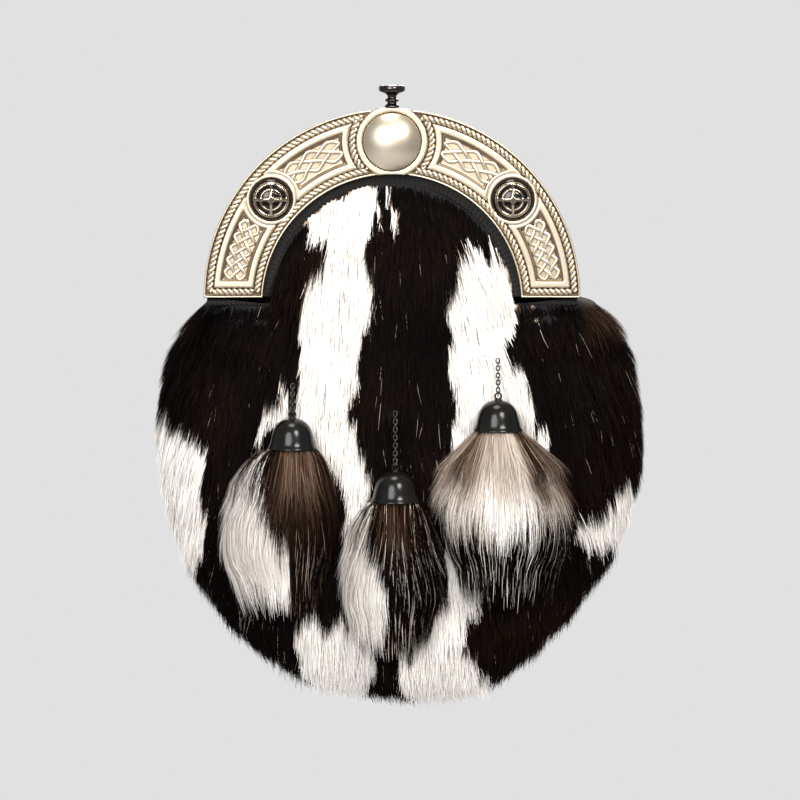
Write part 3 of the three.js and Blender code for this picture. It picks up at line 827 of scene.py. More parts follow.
def outline_of(tree, depths):
    """A solid's outline as distances from the pouch's centre, one for each of the fan's angles."""
    reaches = []
    for angle in FAN_ANGLE:
        way = np.array([math.cos(angle), 0.0, math.sin(angle)])
        found = [hit(tree, np.array([0, -depth, CENTRE_Z]) + way * 200, -way) for depth in depths]
        near = [(p - (0, 0, CENTRE_Z)) @ way for p in found if p is not None]
        reaches.append(max(near))
    reaches = np.array(reaches)
    return (np.roll(reaches, 1) + 2 * reaches + np.roll(reaches, -1)) / 4


POUCH = tree_of("pouch_front")
SEAM = -box_mm("pouch_front")[1][1]
LEATHER_FRONT = -FACING_HIGH[1] - 0.3
OUTLINE = outline_of(POUCH, (SEAM + 0.8, LEATHER_FRONT - 0.8))
print(f"outline reaches from {OUTLINE.min():.0f} to {OUTLINE.max():.0f} mm from the pouch's centre")


def reach_at(x, z):
    """The outline's distance from the centre in the direction of each point."""
    angle = np.arctan2(np.asarray(z) - CENTRE_Z, np.asarray(x))
    return np.interp(angle, np.append(FAN_ANGLE, np.pi), np.append(OUTLINE, OUTLINE[0]))


# %% [markdown]
# Along the arch the front is a bare sheet and keeps its size. Below the cantle's ends the outer skin
# steps in by a few millimetres, more at the bottom where the hair hangs past it. The hide itself is two
# millimetres thick, so the inner skin is the outer one moved in by that much.

# %% Skins of the pouch
RINGS = 36
SET_IN = 3.2
HIDE = 2.0
edge_z = CENTRE_Z + FAN_SIN[:, 0] * OUTLINE
FURRY = smoothstep(3, -12, edge_z)
OPEN = smoothstep(14, 28, edge_z)
PELT_REACH = OUTLINE - FURRY * (3.4 + 2.6 * np.clip(-FAN_SIN[:, 0], 0, 1))
SHARE = 1 - (1 - np.linspace(1 / RINGS, 1, RINGS)) ** 1.6


def outer_skin():
    x, z = FAN_COS * PELT_REACH[:, None] * SHARE, CENTRE_Z + FAN_SIN * PELT_REACH[:, None] * SHARE
    depth = np.empty_like(x)
    for at in np.ndindex(x.shape):
        found = hit(POUCH, (x[at], -100.0, z[at]), (0, 1, 0))
        depth[at] = SEAM if found is None else -found[1]
    depth[:, -1] = SEAM + (LEATHER_FRONT - SEAM) * OPEN
    for _ in range(3):
        middle = (np.roll(depth, 1, 0) + np.roll(depth, -1, 0) + 2 * depth) / 4
        middle[:, 1:-1] = (middle[:, :-2] + 2 * middle[:, 1:-1] + middle[:, 2:]) / 4
        depth[:, :-1] = middle[:, :-1]
    depth -= SET_IN * smoothstep(LEATHER_FRONT + 1, LEATHER_FRONT + 7, depth)
    depth = np.maximum(depth, SEAM)
    return np.stack([x, -depth, z], -1)


OUTER = outer_skin()
inner = OUTER.copy()
inner_reach = (PELT_REACH - HIDE)[:, None] * SHARE
inner[..., 0], inner[..., 2] = FAN_COS * inner_reach, CENTRE_Z + FAN_SIN * inner_reach
inner[..., 1] = np.minimum(OUTER[..., 1] + HIDE, -SEAM)

# %% [markdown]
# The hide is a pied one, white patches on black-brown. Each patch is charted as rows of height,
# left and right, and its edge is ragged because a hair carries its colour well past its root. So the
# chart is asked about the middle of every hair, with a little wandering added.

# %% Chart of the pied hide
PATCHES = [
    [(50, -8, -4), (43, -20, -5.7), (36.5, -28.7, -6.6), (32.4, -36.9, -8.6), (24, -33.6, -13), (17, -26.5, -12.7),
     (6.6, -32.8, -10.3), (-3, -36.9, -9.8), (-17, -36.5, -11.5), (-30, -37.7, -15.6), (-40, -40.6, -18.5),
     (-47, -39.8, -18.9), (-56, -34.4, -14.8), (-62, -29.9, -9.8), (-75, -21.3, -10.3), (-90, -21, -17)],
    [(42, -2.9, -1.7), (34, -1.0, 0.6), (27, 1.4, 2.2)],
    [(19, 29, 32), (15.6, 27.5, 43.5), (7.4, 26.7, 50), (0, 25, 52), (-10, 24.2, 52.9), (-16, 23.5, 53.5),
     (-20, 23, 46), (-25, 22.1, 50.8), (-32, 22.6, 55.8), (-43, 25, 58.2), (-58, 24.2, 62.7), (-70, 30, 60)],
    [(-1, 57, 58.5), (-7, 57, 59.8)],
    [(-45, -100, -94), (-50, -104, -90.2), (-60, -108, -77), (-69, -108, -75), (-79, -108, -78.5),
     (-91, -108, -77.5), (-97, -104, -79.5), (-106, -92, -84)],
    [(-33, -43.9, -42.6), (-38, -45.2, -41.8), (-46, -50, -45.5), (-58, -56.5, -53)],
    [(-127, -28, -18.5), (-133, -37.7, -14.8), (-140, -40.6, -13.1), (-150, -38, -9), (-155, -36, -9.8),
     (-161, -33, -11.5), (-170, -31, -14)],
    [(-97, 22, 24), (-104, 21.7, 27.5), (-116, 20.1, 36.1), (-122, 18.9, 36.1), (-132, 15.6, 29.9),
     (-138, 12.7, 27), (-143, 3.3, 31.6), (-152, 3.3, 36.1), (-159, 3.3, 45.1), (-165, 12, 40), (-172, 18, 38)],
    [(-74, 94, 112), (-82, 88.2, 112), (-88, 75, 112), (-91.4, 70.5, 112), (-94.7, 73, 112), (-99, 86, 112)],
]


def whiteness(x, z):
    """1 well inside a white patch and 0 outside, with ragged edges."""
    x = x + 2.8 * wander(x / 7, z / 16, 1) + 2.2 * wander(x / 2.0, z / 10, 2)
    z = z + 4.5 * wander(x / 5, z / 30, 3) + 4.0 * wander(x / 1.7, z / 30, 19)
    white = np.zeros_like(x)
    for patch in PATCHES:
        rows = np.array(patch[::-1], float)
        left, right = np.interp(z, rows[:, 0], rows[:, 1]), np.interp(z, rows[:, 0], rows[:, 2])
        within = np.minimum(np.minimum(x - left, right - x), np.minimum(z - rows[0, 0], rows[-1, 0] - z))
        white = np.maximum(white, smoothstep(-0.9, 0.9, within))
    return white


def hide_tone(x, z):
    """The ground tone of the hide: near black, a painted brown sheen on the shoulders, white in the patches."""
    # The brown streaks on the shoulders are a painted sheen.
    streak = 0.75 + 0.5 * wander(x / 2.2, z / 12, 20)
    shoulder = smoothstep(74, 88, np.abs(x)) * smoothstep(-19, -8, z) * 0.42 * streak
    brown = 0.025 + 0.03 * wander(x / 22, z / 30, 4) + shoulder
    white = whiteness(x, z)
    return brown * (1 - white) + white


# %% Hide
def pelt_finish():
    f = Finish("pelt_hide", specular_ior_level=0.3, roughness=0.75)
    skin = f.ramp(f.number("tone"), *HAIR_STOPS)
    suede = f.ramp(f.noise(500, 4), (0.3, (0.16, 0.10, 0.06)), (0.75, (0.27, 0.18, 0.11)))
    fine = f.noise(1800, 2)
    f.set(base_color=f.mixed(f.number("flesh"), skin, suede), normal=f.bump(fine, 0.4, 0.0002))
    return f.material


loop = np.concatenate([OUTER, inner[:, ::-1]], 1)
faces = grid_faces(FAN, 2 * RINGS, wrap_rows=True).tolist()
faces += [list(range(0, FAN * 2 * RINGS, 2 * RINGS)), list(range(2 * RINGS - 1, FAN * 2 * RINGS, 2 * RINGS))[::-1]]
flesh = np.concatenate([np.zeros((FAN, RINGS)), np.ones((FAN, RINGS))], 1)
# The skin's tone is darkened by a fifth: painted shade under the hair.
tone = hide_tone(loop[..., 0].ravel(), loop[..., 2].ravel()) * 0.8
new_piece("pelt", loop.reshape(-1, 3), faces, pelt_finish(), ["pouch_front"],
          {"tone": tone, "flesh": flesh.ravel()})

# %% [markdown]
# ## Hair
# Each hair is a narrow ribbon of four faces, rooted on the pelt. It lifts off the skin and lies down
# along the flow, which runs down the pouch and fans a little at the sides. A few thousand broad hairs
# would look like straw and millions would be slow, so about fifty thousand fine ones are laid in three
# coats, and neighbouring hairs lean together into locks by sharing the same wandering numbers.

# %% Ribbons
def bake_cells(mesh, count, steps):
    """Gives every ribbon its own cell of a square map, so that a baked picture can hold each hair."""
    side = math.ceil(math.sqrt(count))
    i = np.arange(count)
    left, low = (i % side) / side, (i // side) / side
    margin, room = 0.12 / side, 0.76 / side
    v = low[:, None] + margin + room * np.linspace(0, 1, steps)
    u0, u1 = np.broadcast_to((left + margin)[:, None], v.shape), np.broadcast_to((left + margin + room)[:, None], v.shape)
    corners = [(u0[:, :-1], v[:, :-1]), (u1[:, :-1], v[:, :-1]), (u1[:, 1:], v[:, 1:]), (u0[:, 1:], v[:, 1:])]
    uv = np.stack([np.stack(c, -1) for c in corners], 2)
    mesh.uv_layers.new(name="OFBake").data.foreach_set("uv", uv.astype(np.float32).ravel())


def ribbons(name, paths, facing, width, tone, chance, finish):
    """Makes a piece of ribbons from paths, the ways their flats face, and their widths in millimetres."""
    count, steps = paths.shape[:2]
    tangent = np.gradient(paths, axis=1)
    across = np.cross(tangent, facing)
    across /= np.maximum(np.linalg.norm(across, axis=2, keepdims=True), 1e-9)
    half = (width / 2)[..., None]
    points = np.stack([paths - across * half, paths + across * half], 2).reshape(-1, 3)
    first = (np.arange(count)[:, None] * steps + np.arange(steps - 1)) * 2
    faces = np.stack([first, first + 1, first + 3, first + 2], -1).reshape(-1, 4)
    spread = lambda values: np.repeat(np.broadcast_to(values, (count, steps)).ravel(), 2)
    floats = {"tone": spread(tone), "along": spread(np.linspace(0, 1, steps)), "chance": spread(chance[:, None])}
    piece = new_piece(name, points, faces, finish, floats=floats)
    bake_cells(piece.data, count, steps)
    return piece


# %% Roots on the pelt
step_out = np.gradient(OUTER, axis=1)
step_round = (np.roll(OUTER, -1, 0) - np.roll(OUTER, 1, 0)) / 2
SKIN_NORMAL = np.cross(step_round, step_out)
SKIN_AREA = np.linalg.norm(SKIN_NORMAL, axis=2)
SKIN_NORMAL /= np.maximum(SKIN_AREA[..., None], 1e-9)
if SKIN_NORMAL[0, 5, 1] > 0:
    SKIN_NORMAL = -SKIN_NORMAL

TASSELS = ("left", "middle", "right")


def bare(x, z):
    """True under the leather facing, and under the heart of each tassel, where no hair would show."""
    arch = np.hypot(x, z + INNER_DROP)
    covered = (z > -3.4) & (arch > FACING_INNER_R - 0.7)
    for side in TASSELS:
        low, high = box_mm("tassel_" + side)
        middle, half = (low + high) / 2, (high - low) / 2
        covered |= np.hypot((x - middle[0]) / half[0], (z - middle[2]) / half[2]) < 0.62
    return covered


def roots(count, rng):
    """Random places on the outer skin, evenly over its area, with the skin's normals there."""
    weight = SKIN_AREA * ~bare(OUTER[..., 0], OUTER[..., 2])
    cell = rng.choice(weight.size, count, p=(weight / weight.sum()).ravel())
    i, k = np.unravel_index(cell, weight.shape)
    a, b = rng.uniform(0, 1, (2, count))
    j, m = (i + 1) % FAN, np.minimum(k + 1, RINGS - 1)

    def at(grid):
        a1, b1 = a[:, None], b[:, None]
        return (grid[i, k] * (1 - a1) * (1 - b1) + grid[j, k] * a1 * (1 - b1)
                + grid[i, m] * (1 - a1) * b1 + grid[j, m] * a1 * b1)

    where, normal = at(OUTER), at(SKIN_NORMAL)
    keep = ~bare(where[:, 0], where[:, 2]) | (where[:, 2] < -60)
    return where[keep], (normal / np.linalg.norm(normal, axis=1, keepdims=True))[keep]


# %% Growing the coat
HAIR_STEPS = 4


def grow(where, normal, length, heading, bend, lift):
    """Paths that start on the skin, rise by the lift and turn down along the heading."""
    share = np.linspace(0, 1, HAIR_STEPS)
    paths = [where]
    for s in (share[:-1] + share[1:]) / 2:
        angle = heading + bend * (s - 0.3)
        flow = np.stack([np.sin(angle), np.zeros_like(angle), -np.cos(angle)], -1)
        flow -= normal * (flow * normal).sum(1, keepdims=True) * 0.85
        flow /= np.linalg.norm(flow, axis=1, keepdims=True)
        rise = (lift * (1 - 0.8 * s))[:, None]
        way = flow * np.cos(rise) + normal * np.sin(rise)
        paths.append(paths[-1] + way * (length / (HAIR_STEPS - 1))[:, None])
    return np.stack(paths, 1)


def coat(name, count, seed, longest, lift, width):
    rng = np.random.default_rng(seed)
    where, normal = roots(count, rng)
    x, z = where[:, 0], where[:, 2]
    n = len(where)
    heading = 0.0022 * x + 0.12 * wander(x / 13, z / 21, 5) + 0.05 * wander(x / 3.2, z / 7, 6) + rng.normal(0, 0.07, n)
    bend = 0.12 * wander(x / 6, z / 9, 7) + rng.normal(0, 0.14, n)
    length = longest * rng.uniform(0.72, 1.0, n) * (1 + 0.12 * wander(x / 8, z / 8, 8))
    length *= 0.72 + 0.28 * smoothstep(45, 5, z)
    rise = np.radians(lift) * (1 + 0.35 * wander(x / 4, z / 6, 9) + rng.normal(0, 0.12, n))
    beyond = rng.uniform(0.0, 1.0, n) ** 2 * (1.5 + 4.0 * smoothstep(-60, -150, z))
    beyond += 2.2 * np.clip(wander(x / 3, z / 4, 21), 0, 1)
    for _ in range(4):
        paths = grow(where, normal, length, heading, bend, rise)
        tip = paths[:, -1]
        excess = np.hypot(tip[:, 0], tip[:, 2] - CENTRE_Z) - reach_at(tip[:, 0], tip[:, 2]) - beyond
        length = np.maximum(length - np.maximum(excess, 0) * 1.1, 3.0)
    chance = rng.uniform(0, 1, n)
    ask_x = x + np.sin(heading) * length * 0.45
    white = whiteness(ask_x, z - length * 0.45)
    ground = hide_tone(ask_x, z - length * 0.45)
    stray = chance < 0.004 + 0.022 * np.clip(wander(x / 14, z / 25, 10), 0, 1)
    dark_tone = np.where(stray, 0.62 + 6.0 * chance, ground + rng.uniform(0, 0.04, n))
    light_tone = np.where(chance > 0.975, 0.3, 0.93 + 0.07 * chance)
    tone = np.where(white > rng.uniform(0.2, 0.8, n), light_tone, dark_tone)
    along = np.linspace(0, 1, HAIR_STEPS)
    # Dark hairs get lighter, browner tips: a painted brown sheen.
    tone = tone[:, None] + 0.05 * along * (tone[:, None] < 0.3)
    taper = np.interp(along, [0, 0.15, 0.6, 1], [0.7, 1.0, 0.8, 0.16])
    widths = width * np.where(stray, 0.6, rng.uniform(0.75, 1.2, n))[:, None] * taper
    roll = rng.normal(0, 0.25, n)[:, None]
    flow = paths[:, -1] - paths[:, 0]
    side = np.cross(flow, normal)
    side /= np.maximum(np.linalg.norm(side, axis=1, keepdims=True), 1e-9)
    facing = (normal * np.cos(roll) + side * np.sin(roll))[:, None]
    return ribbons(name, paths, facing, widths, tone, chance, HAIR)


coat("pouch_fur_under", 28000, 21, 16, 13, 0.44)
coat("pouch_fur_middle", 28000, 22, 18, 15, 0.38)
coat("pouch_fur_top", 28000, 23, 19, 17, 0.31)

# %% [markdown]
# ## Bells and chains
# A bell is a thin turned cup with a bead on top and a small ring through it. Each chain is a run of fine
# wire links, every one turned a quarter from the last, along the straight line the frame gives it.

# %% Bells
BELL_PROFILE = [(0, 0), (1.2, 0), (1.5, -0.3), (1.6, -0.7), (3.4, -1.0), (5.2, -2.0), (6.7, -3.6), (7.7, -5.6),
                (8.3, -7.8), (8.7, -9.8), (9.2, -11.4), (9.9, -12.5), (9.95, -13.0), (9.3, -13.1), (8.4, -12.0),
                (7.8, -10.0), (7.4, -7.8), (6.8, -5.8), (5.8, -4.0), (4.2, -2.6), (2.2, -1.9), (0, -1.8)]


def ring_of_wire(centre, radius, wire, normal, sides=8, segments=28):
    """A closed ring of round wire about a centre, in the plane across its normal."""
    normal = np.asarray(normal, float) / np.linalg.norm(normal)
    first = np.cross(normal, [0.31, 0.2, 0.93])
    first /= np.linalg.norm(first)
    second = np.cross(normal, first)
    turn = np.linspace(0, 2 * np.pi, segments, endpoint=False)[:, None]
    path = np.asarray(centre) + radius * (np.cos(turn) * first + np.sin(turn) * second)
    return swept(path, wire, wire, sides=sides, closed=True, out=normal)


def bell(side):
    low, high = box_mm("bell_" + side)
    x, y = (low[0] + high[0]) / 2, (low[1] + high[1]) / 2
    scale = (high[0] - low[0]) / 2 / 9.95
    lip = low[2]
    profile = [(r * scale, h + 13.1 + lip) for r, h in rounded(BELL_PROFILE[::-1], 1)]
    points, faces = turned(profile, 64)
    points[:, 0] += x
    points[:, 1] += y
    heap = Heap()
    heap.add(points, faces)
    heap.add(*ring_of_wire((x, y, lip + 13.1 + 1.1), 1.25, 0.38, (0, 1, 0)))
    points, faces, _ = heap.arrays()
    new_piece("bell_cup_" + side, points, faces, LACQUER, ["bell_" + side])


for side in TASSELS:
    bell(side)


# %% Chains
def link(heap, centre, way, flat, long=1.15, broad=0.72, wire=0.27):
    """One oval link, long along its way and flat across the given direction."""
    across = np.cross(way, flat)
    turn = np.linspace(0, 2 * np.pi, 18, endpoint=False)[:, None]
    stretch = np.sign(np.cos(turn)) * 0.45
    path = centre + way * (np.cos(turn) * (long - 0.45) + stretch) + across * np.sin(turn) * broad
    heap.add(*swept(path, wire, wire, sides=6, closed=True, out=flat))


def chain(side):
    low, high = box_mm("chain_" + side)
    x = (low[0] + high[0]) / 2
    top, bottom = np.array([x, high[1] - 1.0, high[2]]), np.array([x, low[1] + 0.9, low[2] - 1.0])
    way = (bottom - top) / np.linalg.norm(bottom - top)
    pitch = 1.62
    count = int(np.linalg.norm(bottom - top) / pitch) + 1
    heap = Heap()
    for i in range(count):
        turned_a_quarter = np.array([1.0, 0, 0]) if i % 2 else np.cross(way, [1.0, 0, 0])
        link(heap, top + way * pitch * (i + 0.3), way, turned_a_quarter)
    points, faces, _ = heap.arrays()
    new_piece("chain_links_" + side, points, faces, CHAIN, ["chain_" + side])


for side in TASSELS:
    chain(side)

# %% [markdown]
# ## Tassels
# A tassel is a strip of long-haired fur rolled up and pinched into its bell. Its hairs leave the bell's
# lip on all sides, spread over a full body and hang in separate tips. The body's form is read from the
# frame as rays towards the tassel's axis, and the hairs are rooted over it and combed down.

# %% Form of a tassel
LEVELS, WAYS = 26, 33
WAY_ANGLE = np.radians(np.linspace(-128, 128, WAYS))


def tassel_form(side):
    """The axis and, for each level below the lip and each way round the front, how far the body reaches."""
    low, high = box_mm("tassel_" + side)
    tree = tree_of("tassel_" + side)
    lip = box_mm("bell_" + side)[0][2]
    bell_low, bell_high = box_mm("bell_" + side)
    axis = np.array([(bell_low[0] + bell_high[0]) / 2, (bell_low[1] + bell_high[1]) / 2])
    level = np.linspace(lip, low[2] + 0.5, LEVELS)
    reach = np.empty((LEVELS, WAYS))
    for k, z in enumerate(level):
        for j, angle in enumerate(WAY_ANGLE):
            way = np.array([math.sin(angle), -math.cos(angle), 0.0])
            found = hit(tree, np.array([*axis, z]) + way * 80, -way)
            reach[k, j] = 2.0 if found is None else np.dot(found - np.array([*axis, z]), way)
    reach = np.clip(reach, 2, None)
    for _ in range(3):
        reach[:, 1:-1] = (reach[:, :-2] + 2 * reach[:, 1:-1] + reach[:, 2:]) / 4
        reach[1:-1] = (reach[:-2] + 2 * reach[1:-1] + reach[2:]) / 4
    print(f"tassel {side}: lip {lip:.1f}, foot {low[2]:.1f}, widest {reach.max():.1f} mm from its axis")
    return axis, lip, low[2], level, reach


def on_form(reach, share, angle):
    """The body's reach at a share of its height and an angle, between the measured rays."""
    k = np.clip(share, 0, 1) * (LEVELS - 1)
    j = np.clip((angle - WAY_ANGLE[0]) / (WAY_ANGLE[1] - WAY_ANGLE[0]), 0, WAYS - 1.001)
    k0, j0 = np.minimum(k.astype(int), LEVELS - 2), j.astype(int)
    a, b = k - k0, j - j0
    return ((reach[k0, j0] * (1 - a) + reach[k0 + 1, j0] * a) * (1 - b)
            + (reach[k0, j0 + 1] * (1 - a) + reach[k0 + 1, j0 + 1] * a) * b)


LIP_R = 9.8


def full_body(reach, share, angle, roundness):
    """The body's reach with its shoulder filled out from the bell's lip; a low roundness gives a dome."""
    wide = on_form(reach, np.full_like(share, 0.34), angle)
    shoulder = LIP_R + (wide - LIP_R) * np.clip(share / 0.24, 0, 1) ** roundness
    below = smoothstep(0.18, 0.40, share)
    return shoulder * (1 - below) + on_form(reach, np.clip(share, 0, 0.80), angle) * below


# %% [markdown]
# The three tassels are cut from different parts of pied hides. The left is tan at its crown, its own brown
# with a painted highlight near the lip, then dark, with a white lock low on its left. The middle is dark
# under a thin brown crown, with white on its left. The right is smooth beige, lightened just below the
# lip by a painted highlight, that pales to cream and breaks into dark under-fur.

# %% Colours of the tassels
WHITE_LOCKS = {
    "left": [(-73, -67, -61), (-79, -70, -54), (-86, -73, -49), (-93, -75, -46.5), (-103, -77, -44),
             (-112, -77, -43.5), (-121, -68, -44), (-127, -56, -47)],
    "middle": [(-90, -27, -20), (-97, -31, -11), (-106, -32, -4), (-118, -31, -1), (-131, -27, -2), (-143, -23, -6)],
}


def in_lock(side, x, z, chance):
    rows = np.array(WHITE_LOCKS[side][::-1], float)
    x = x + 2.2 * wander(x / 4, z / 14, 12) + 2.5 * (chance - 0.5)
    z = z + 5 * wander(x / 3, z / 30, 14)
    left, right = np.interp(z, rows[:, 0], rows[:, 1]), np.interp(z, rows[:, 0], rows[:, 2])
    return (x > left) & (x < right) & (z > rows[0, 0]) & (z < rows[-1, 0])


def tone_left(x, z, drop, chance):
    # The crown near the lip is the hide's own brown, lightened to tan towards its middle by a painted highlight.
    crown = smoothstep(19, 4, drop + 4 * wander(x / 5, drop / 9, 11) + 9 * smoothstep(-44, -60, x))
    tone = 0.06 + 0.10 * chance + 0.12 * smoothstep(34, 16, drop) * chance
    tone = tone + (0.25 + 0.20 * smoothstep(-54, -38, x) + 0.1 * (chance - 0.5) - tone) * crown
    tone = np.where((chance > 0.90) & (drop > 30), 0.55, tone)
    return np.where(in_lock("left", x, z, chance), 0.94 + 0.06 * chance, tone)


def tone_middle(x, z, drop, chance):
    crown = smoothstep(16, 3, drop + 3 * wander(x / 4, drop / 7, 13))
    tone = np.where(chance < 0.09, 0.78 + chance, 0.03 + 0.08 * chance)
    tone = tone + (0.36 + 0.14 * (chance - 0.5) - tone) * crown
    return np.where(in_lock("middle", x, z, chance), 0.92 + 0.08 * chance, tone)


def tone_right(x, z, drop, chance):
    # The last term lightens the hair just below the lip: a painted highlight.
    tone = 0.66 + 0.10 * wander(x / 6, drop / 14, 15) + 0.09 * (chance - 0.5) + 0.1 * smoothstep(6, 1, drop)
    middle = smoothstep(17, 7, np.abs(x - 47 - 0.25 * (drop - 20)))
    tone = tone + (0.97 - tone) * smoothstep(10, 24, drop + 3 * wander(x / 3, drop / 8, 16)) * np.maximum(middle, 0.55)
    flank = smoothstep(8, 14, np.abs(x - 45)) * smoothstep(7, 13, drop) * smoothstep(25, 17, drop)
    tone = tone - 0.40 * flank * smoothstep(-0.5, 0.4, wander(x / 4, drop / 20, 17)) - 0.1 * flank * chance
    under = smoothstep(29, 38, drop + 6 * wander(x / 3, drop / 30, 18) - 4 * middle)
    return np.where(under > chance * 0.8 + 0.1, np.where(chance > 0.88, 0.25 + 0.6 * chance, 0.02 + 0.08 * chance), tone)


# %% Combing a tassel
TASSEL_STEPS = 7


def tassel(side, tone_of, seed, umbrella, roundness, count=6200):
    axis, lip, foot, level, reach = tassel_form(side)
    rng = np.random.default_rng(seed)
    tall = lip - foot
    crown = rng.uniform(0, 1, count) < 0.34
    root = np.where(crown, rng.uniform(-0.02, 0.16, count), rng.uniform(0.08, 0.74, count))
    angle = rng.uniform(WAY_ANGLE[0], WAY_ANGLE[-1], count)
    chance = rng.uniform(0, 1, count)
    length = rng.uniform(17, 31, count) * (1 + 0.15 * wander(angle * 6, root * 6, seed))
    length = np.minimum(length, (1.05 - root) * tall + rng.uniform(-7, 3, count))
    drift = 0.07 * wander(angle * 5, root * 4, seed + 1) + rng.normal(0, 0.085, count)
    stand = rng.uniform(0.0, 1.0, count) * (1 + 0.3 * wander(angle * 8, root * 7, seed + 2))
    flare = np.clip(rng.normal(0.6, 0.8, count), -0.5, 3) + umbrella * crown * rng.uniform(0.5, 1.3, count)
    share = np.linspace(0, 1, TASSEL_STEPS)
    s = root[:, None] + share * (length / tall)[:, None]
    turn = angle[:, None] + drift[:, None] * share
    r = full_body(reach, s, turn, roundness) - 1.4 + stand[:, None] * (0.4 + 1.8 * share) + flare[:, None] * share**1.6
    r -= np.clip(s - 0.80, 0, 1) * r * 0.9
    z = lip - s * tall + umbrella * 0.5 * crown[:, None] * share**2
    paths = np.stack([axis[0] + np.sin(turn) * r, axis[1] - np.cos(turn) * r, z], -1)
    ask = TASSEL_STEPS // 2
    tone = tone_of(paths[:, ask, 0], paths[:, ask, 2], lip - paths[:, ask, 2], chance)
    out = np.stack([np.sin(turn), -np.cos(turn), np.full_like(turn, 0.35)], -1)
    roll = rng.normal(0, 0.3, count)[:, None, None]
    round_about = np.stack([np.cos(turn), np.sin(turn), np.zeros_like(turn)], -1)
    facing = out * np.cos(roll) + round_about * np.sin(roll)
    taper = np.interp(share, [0, 0.12, 0.6, 1], [0.7, 1.0, 0.75, 0.12])
    width = 0.34 * rng.uniform(0.6, 1.2, count)[:, None] * taper
    ribbons("tassel_fur_" + side, paths, facing, width, tone[:, None], chance, TASSEL_HAIR)
    depth_share, round_angle = np.meshgrid(np.linspace(0, 1, LEVELS), WAY_ANGLE, indexing="ij")
    heart = (full_body(reach, depth_share, round_angle, roundness) - 3.0).clip(1)
    core = np.stack([axis[0] + np.sin(WAY_ANGLE) * heart, axis[1] - np.cos(WAY_ANGLE) * heart,
                     np.broadcast_to(level[:, None], reach.shape)], -1)
    rows = int(LEVELS * 0.86)
    core = core[:rows]
    x, z = core[..., 0].ravel(), core[..., 2].ravel() - 6
    # The core sits under the hair and takes its tone darkened to 0.85: painted shade under the hair.
    tone = tone_of(x, z, lip - z, np.full(x.shape, 0.5)) * 0.85
    new_piece("tassel_core_" + side, core.reshape(-1, 3), grid_faces(rows, WAYS, wrap_columns=True)[:, ::-1], CORE,
              ["tassel_" + side], {"tone": tone, "flesh": np.zeros(x.shape)})


CORE = pelt_finish()
tassel("left", tone_left, 31, 1.5, 0.42)
tassel("middle", tone_middle, 32, 2.0, 0.42)
tassel("right", tone_right, 33, 3.2, 0.75)

# %% [markdown]
# ## The back
# The back is a flat leather panel with a rounded edge and a line of stitches. Two leather loops carry the
# belt. Each is a strap whose ends are stitched down, and which stands off the panel between them.

# %% Back panel
PANEL_LOW, PANEL_HIGH = box_mm("back_panel")
PANEL_REACH = outline_of(tree_of("back_panel"), [-(PANEL_LOW[1] + PANEL_HIGH[1]) / 2])


def at_outline(inset, y, share=1.0):
    reach = (PANEL_REACH - inset) * share
    return np.stack([FAN_COS[:, 0] * reach, np.full(FAN, y), CENTRE_Z + FAN_SIN[:, 0] * reach], -1)


back, front = PANEL_HIGH[1], PANEL_LOW[1]
middle = (0.03, 0.15, 0.3, 0.45, 0.6, 0.75, 0.88)
rims = [(3, back, share) for share in middle]
rims += [(3, back), (1.0, back - 0.08), (0.3, back - 0.4), (0, back - 0.9), (0.1, front + 0.4), (0.6, front)]
rims += [(3, front, share) for share in middle[::-1]]
points = np.stack([at_outline(*rim) for rim in rims], 1)
faces = grid_faces(FAN, len(rims), wrap_rows=True)[:, ::-1].tolist()
faces += [list(range(0, FAN * len(rims), len(rims)))[::-1], list(range(len(rims) - 1, FAN * len(rims), len(rims)))]
new_piece("leather_back", points.reshape(-1, 3), faces, LEATHER, ["back_panel"])


# %% Stitches
def stitches(heap, path, y, pitch=3.4, long=2.3):
    """A run of short thread humps along a path of (x, z) points, standing on a plane facing back."""
    x, z, run = even_path(path[:, 0], path[:, 1], 0.25)
    for start in np.arange(0.4, run[-1] - long, pitch):
        at = start + long * np.linspace(0, 1, 6)
        rise = np.sin(np.linspace(0, np.pi, 6)) * 0.32
        way = np.stack([np.interp(at, run, x), y - 0.12 + rise, np.interp(at, run, z)], -1)
        heap.add(*swept(way, 0.26, 0.2, sides=5, out=(0, 1, 0)))


heap = Heap()
line = at_outline(4.5, 0)[:, [0, 2]]
stitches(heap, np.concatenate([line, line[:1]]), back)
points, faces, _ = heap.arrays()
new_piece("back_stitching", points, faces, THREAD)


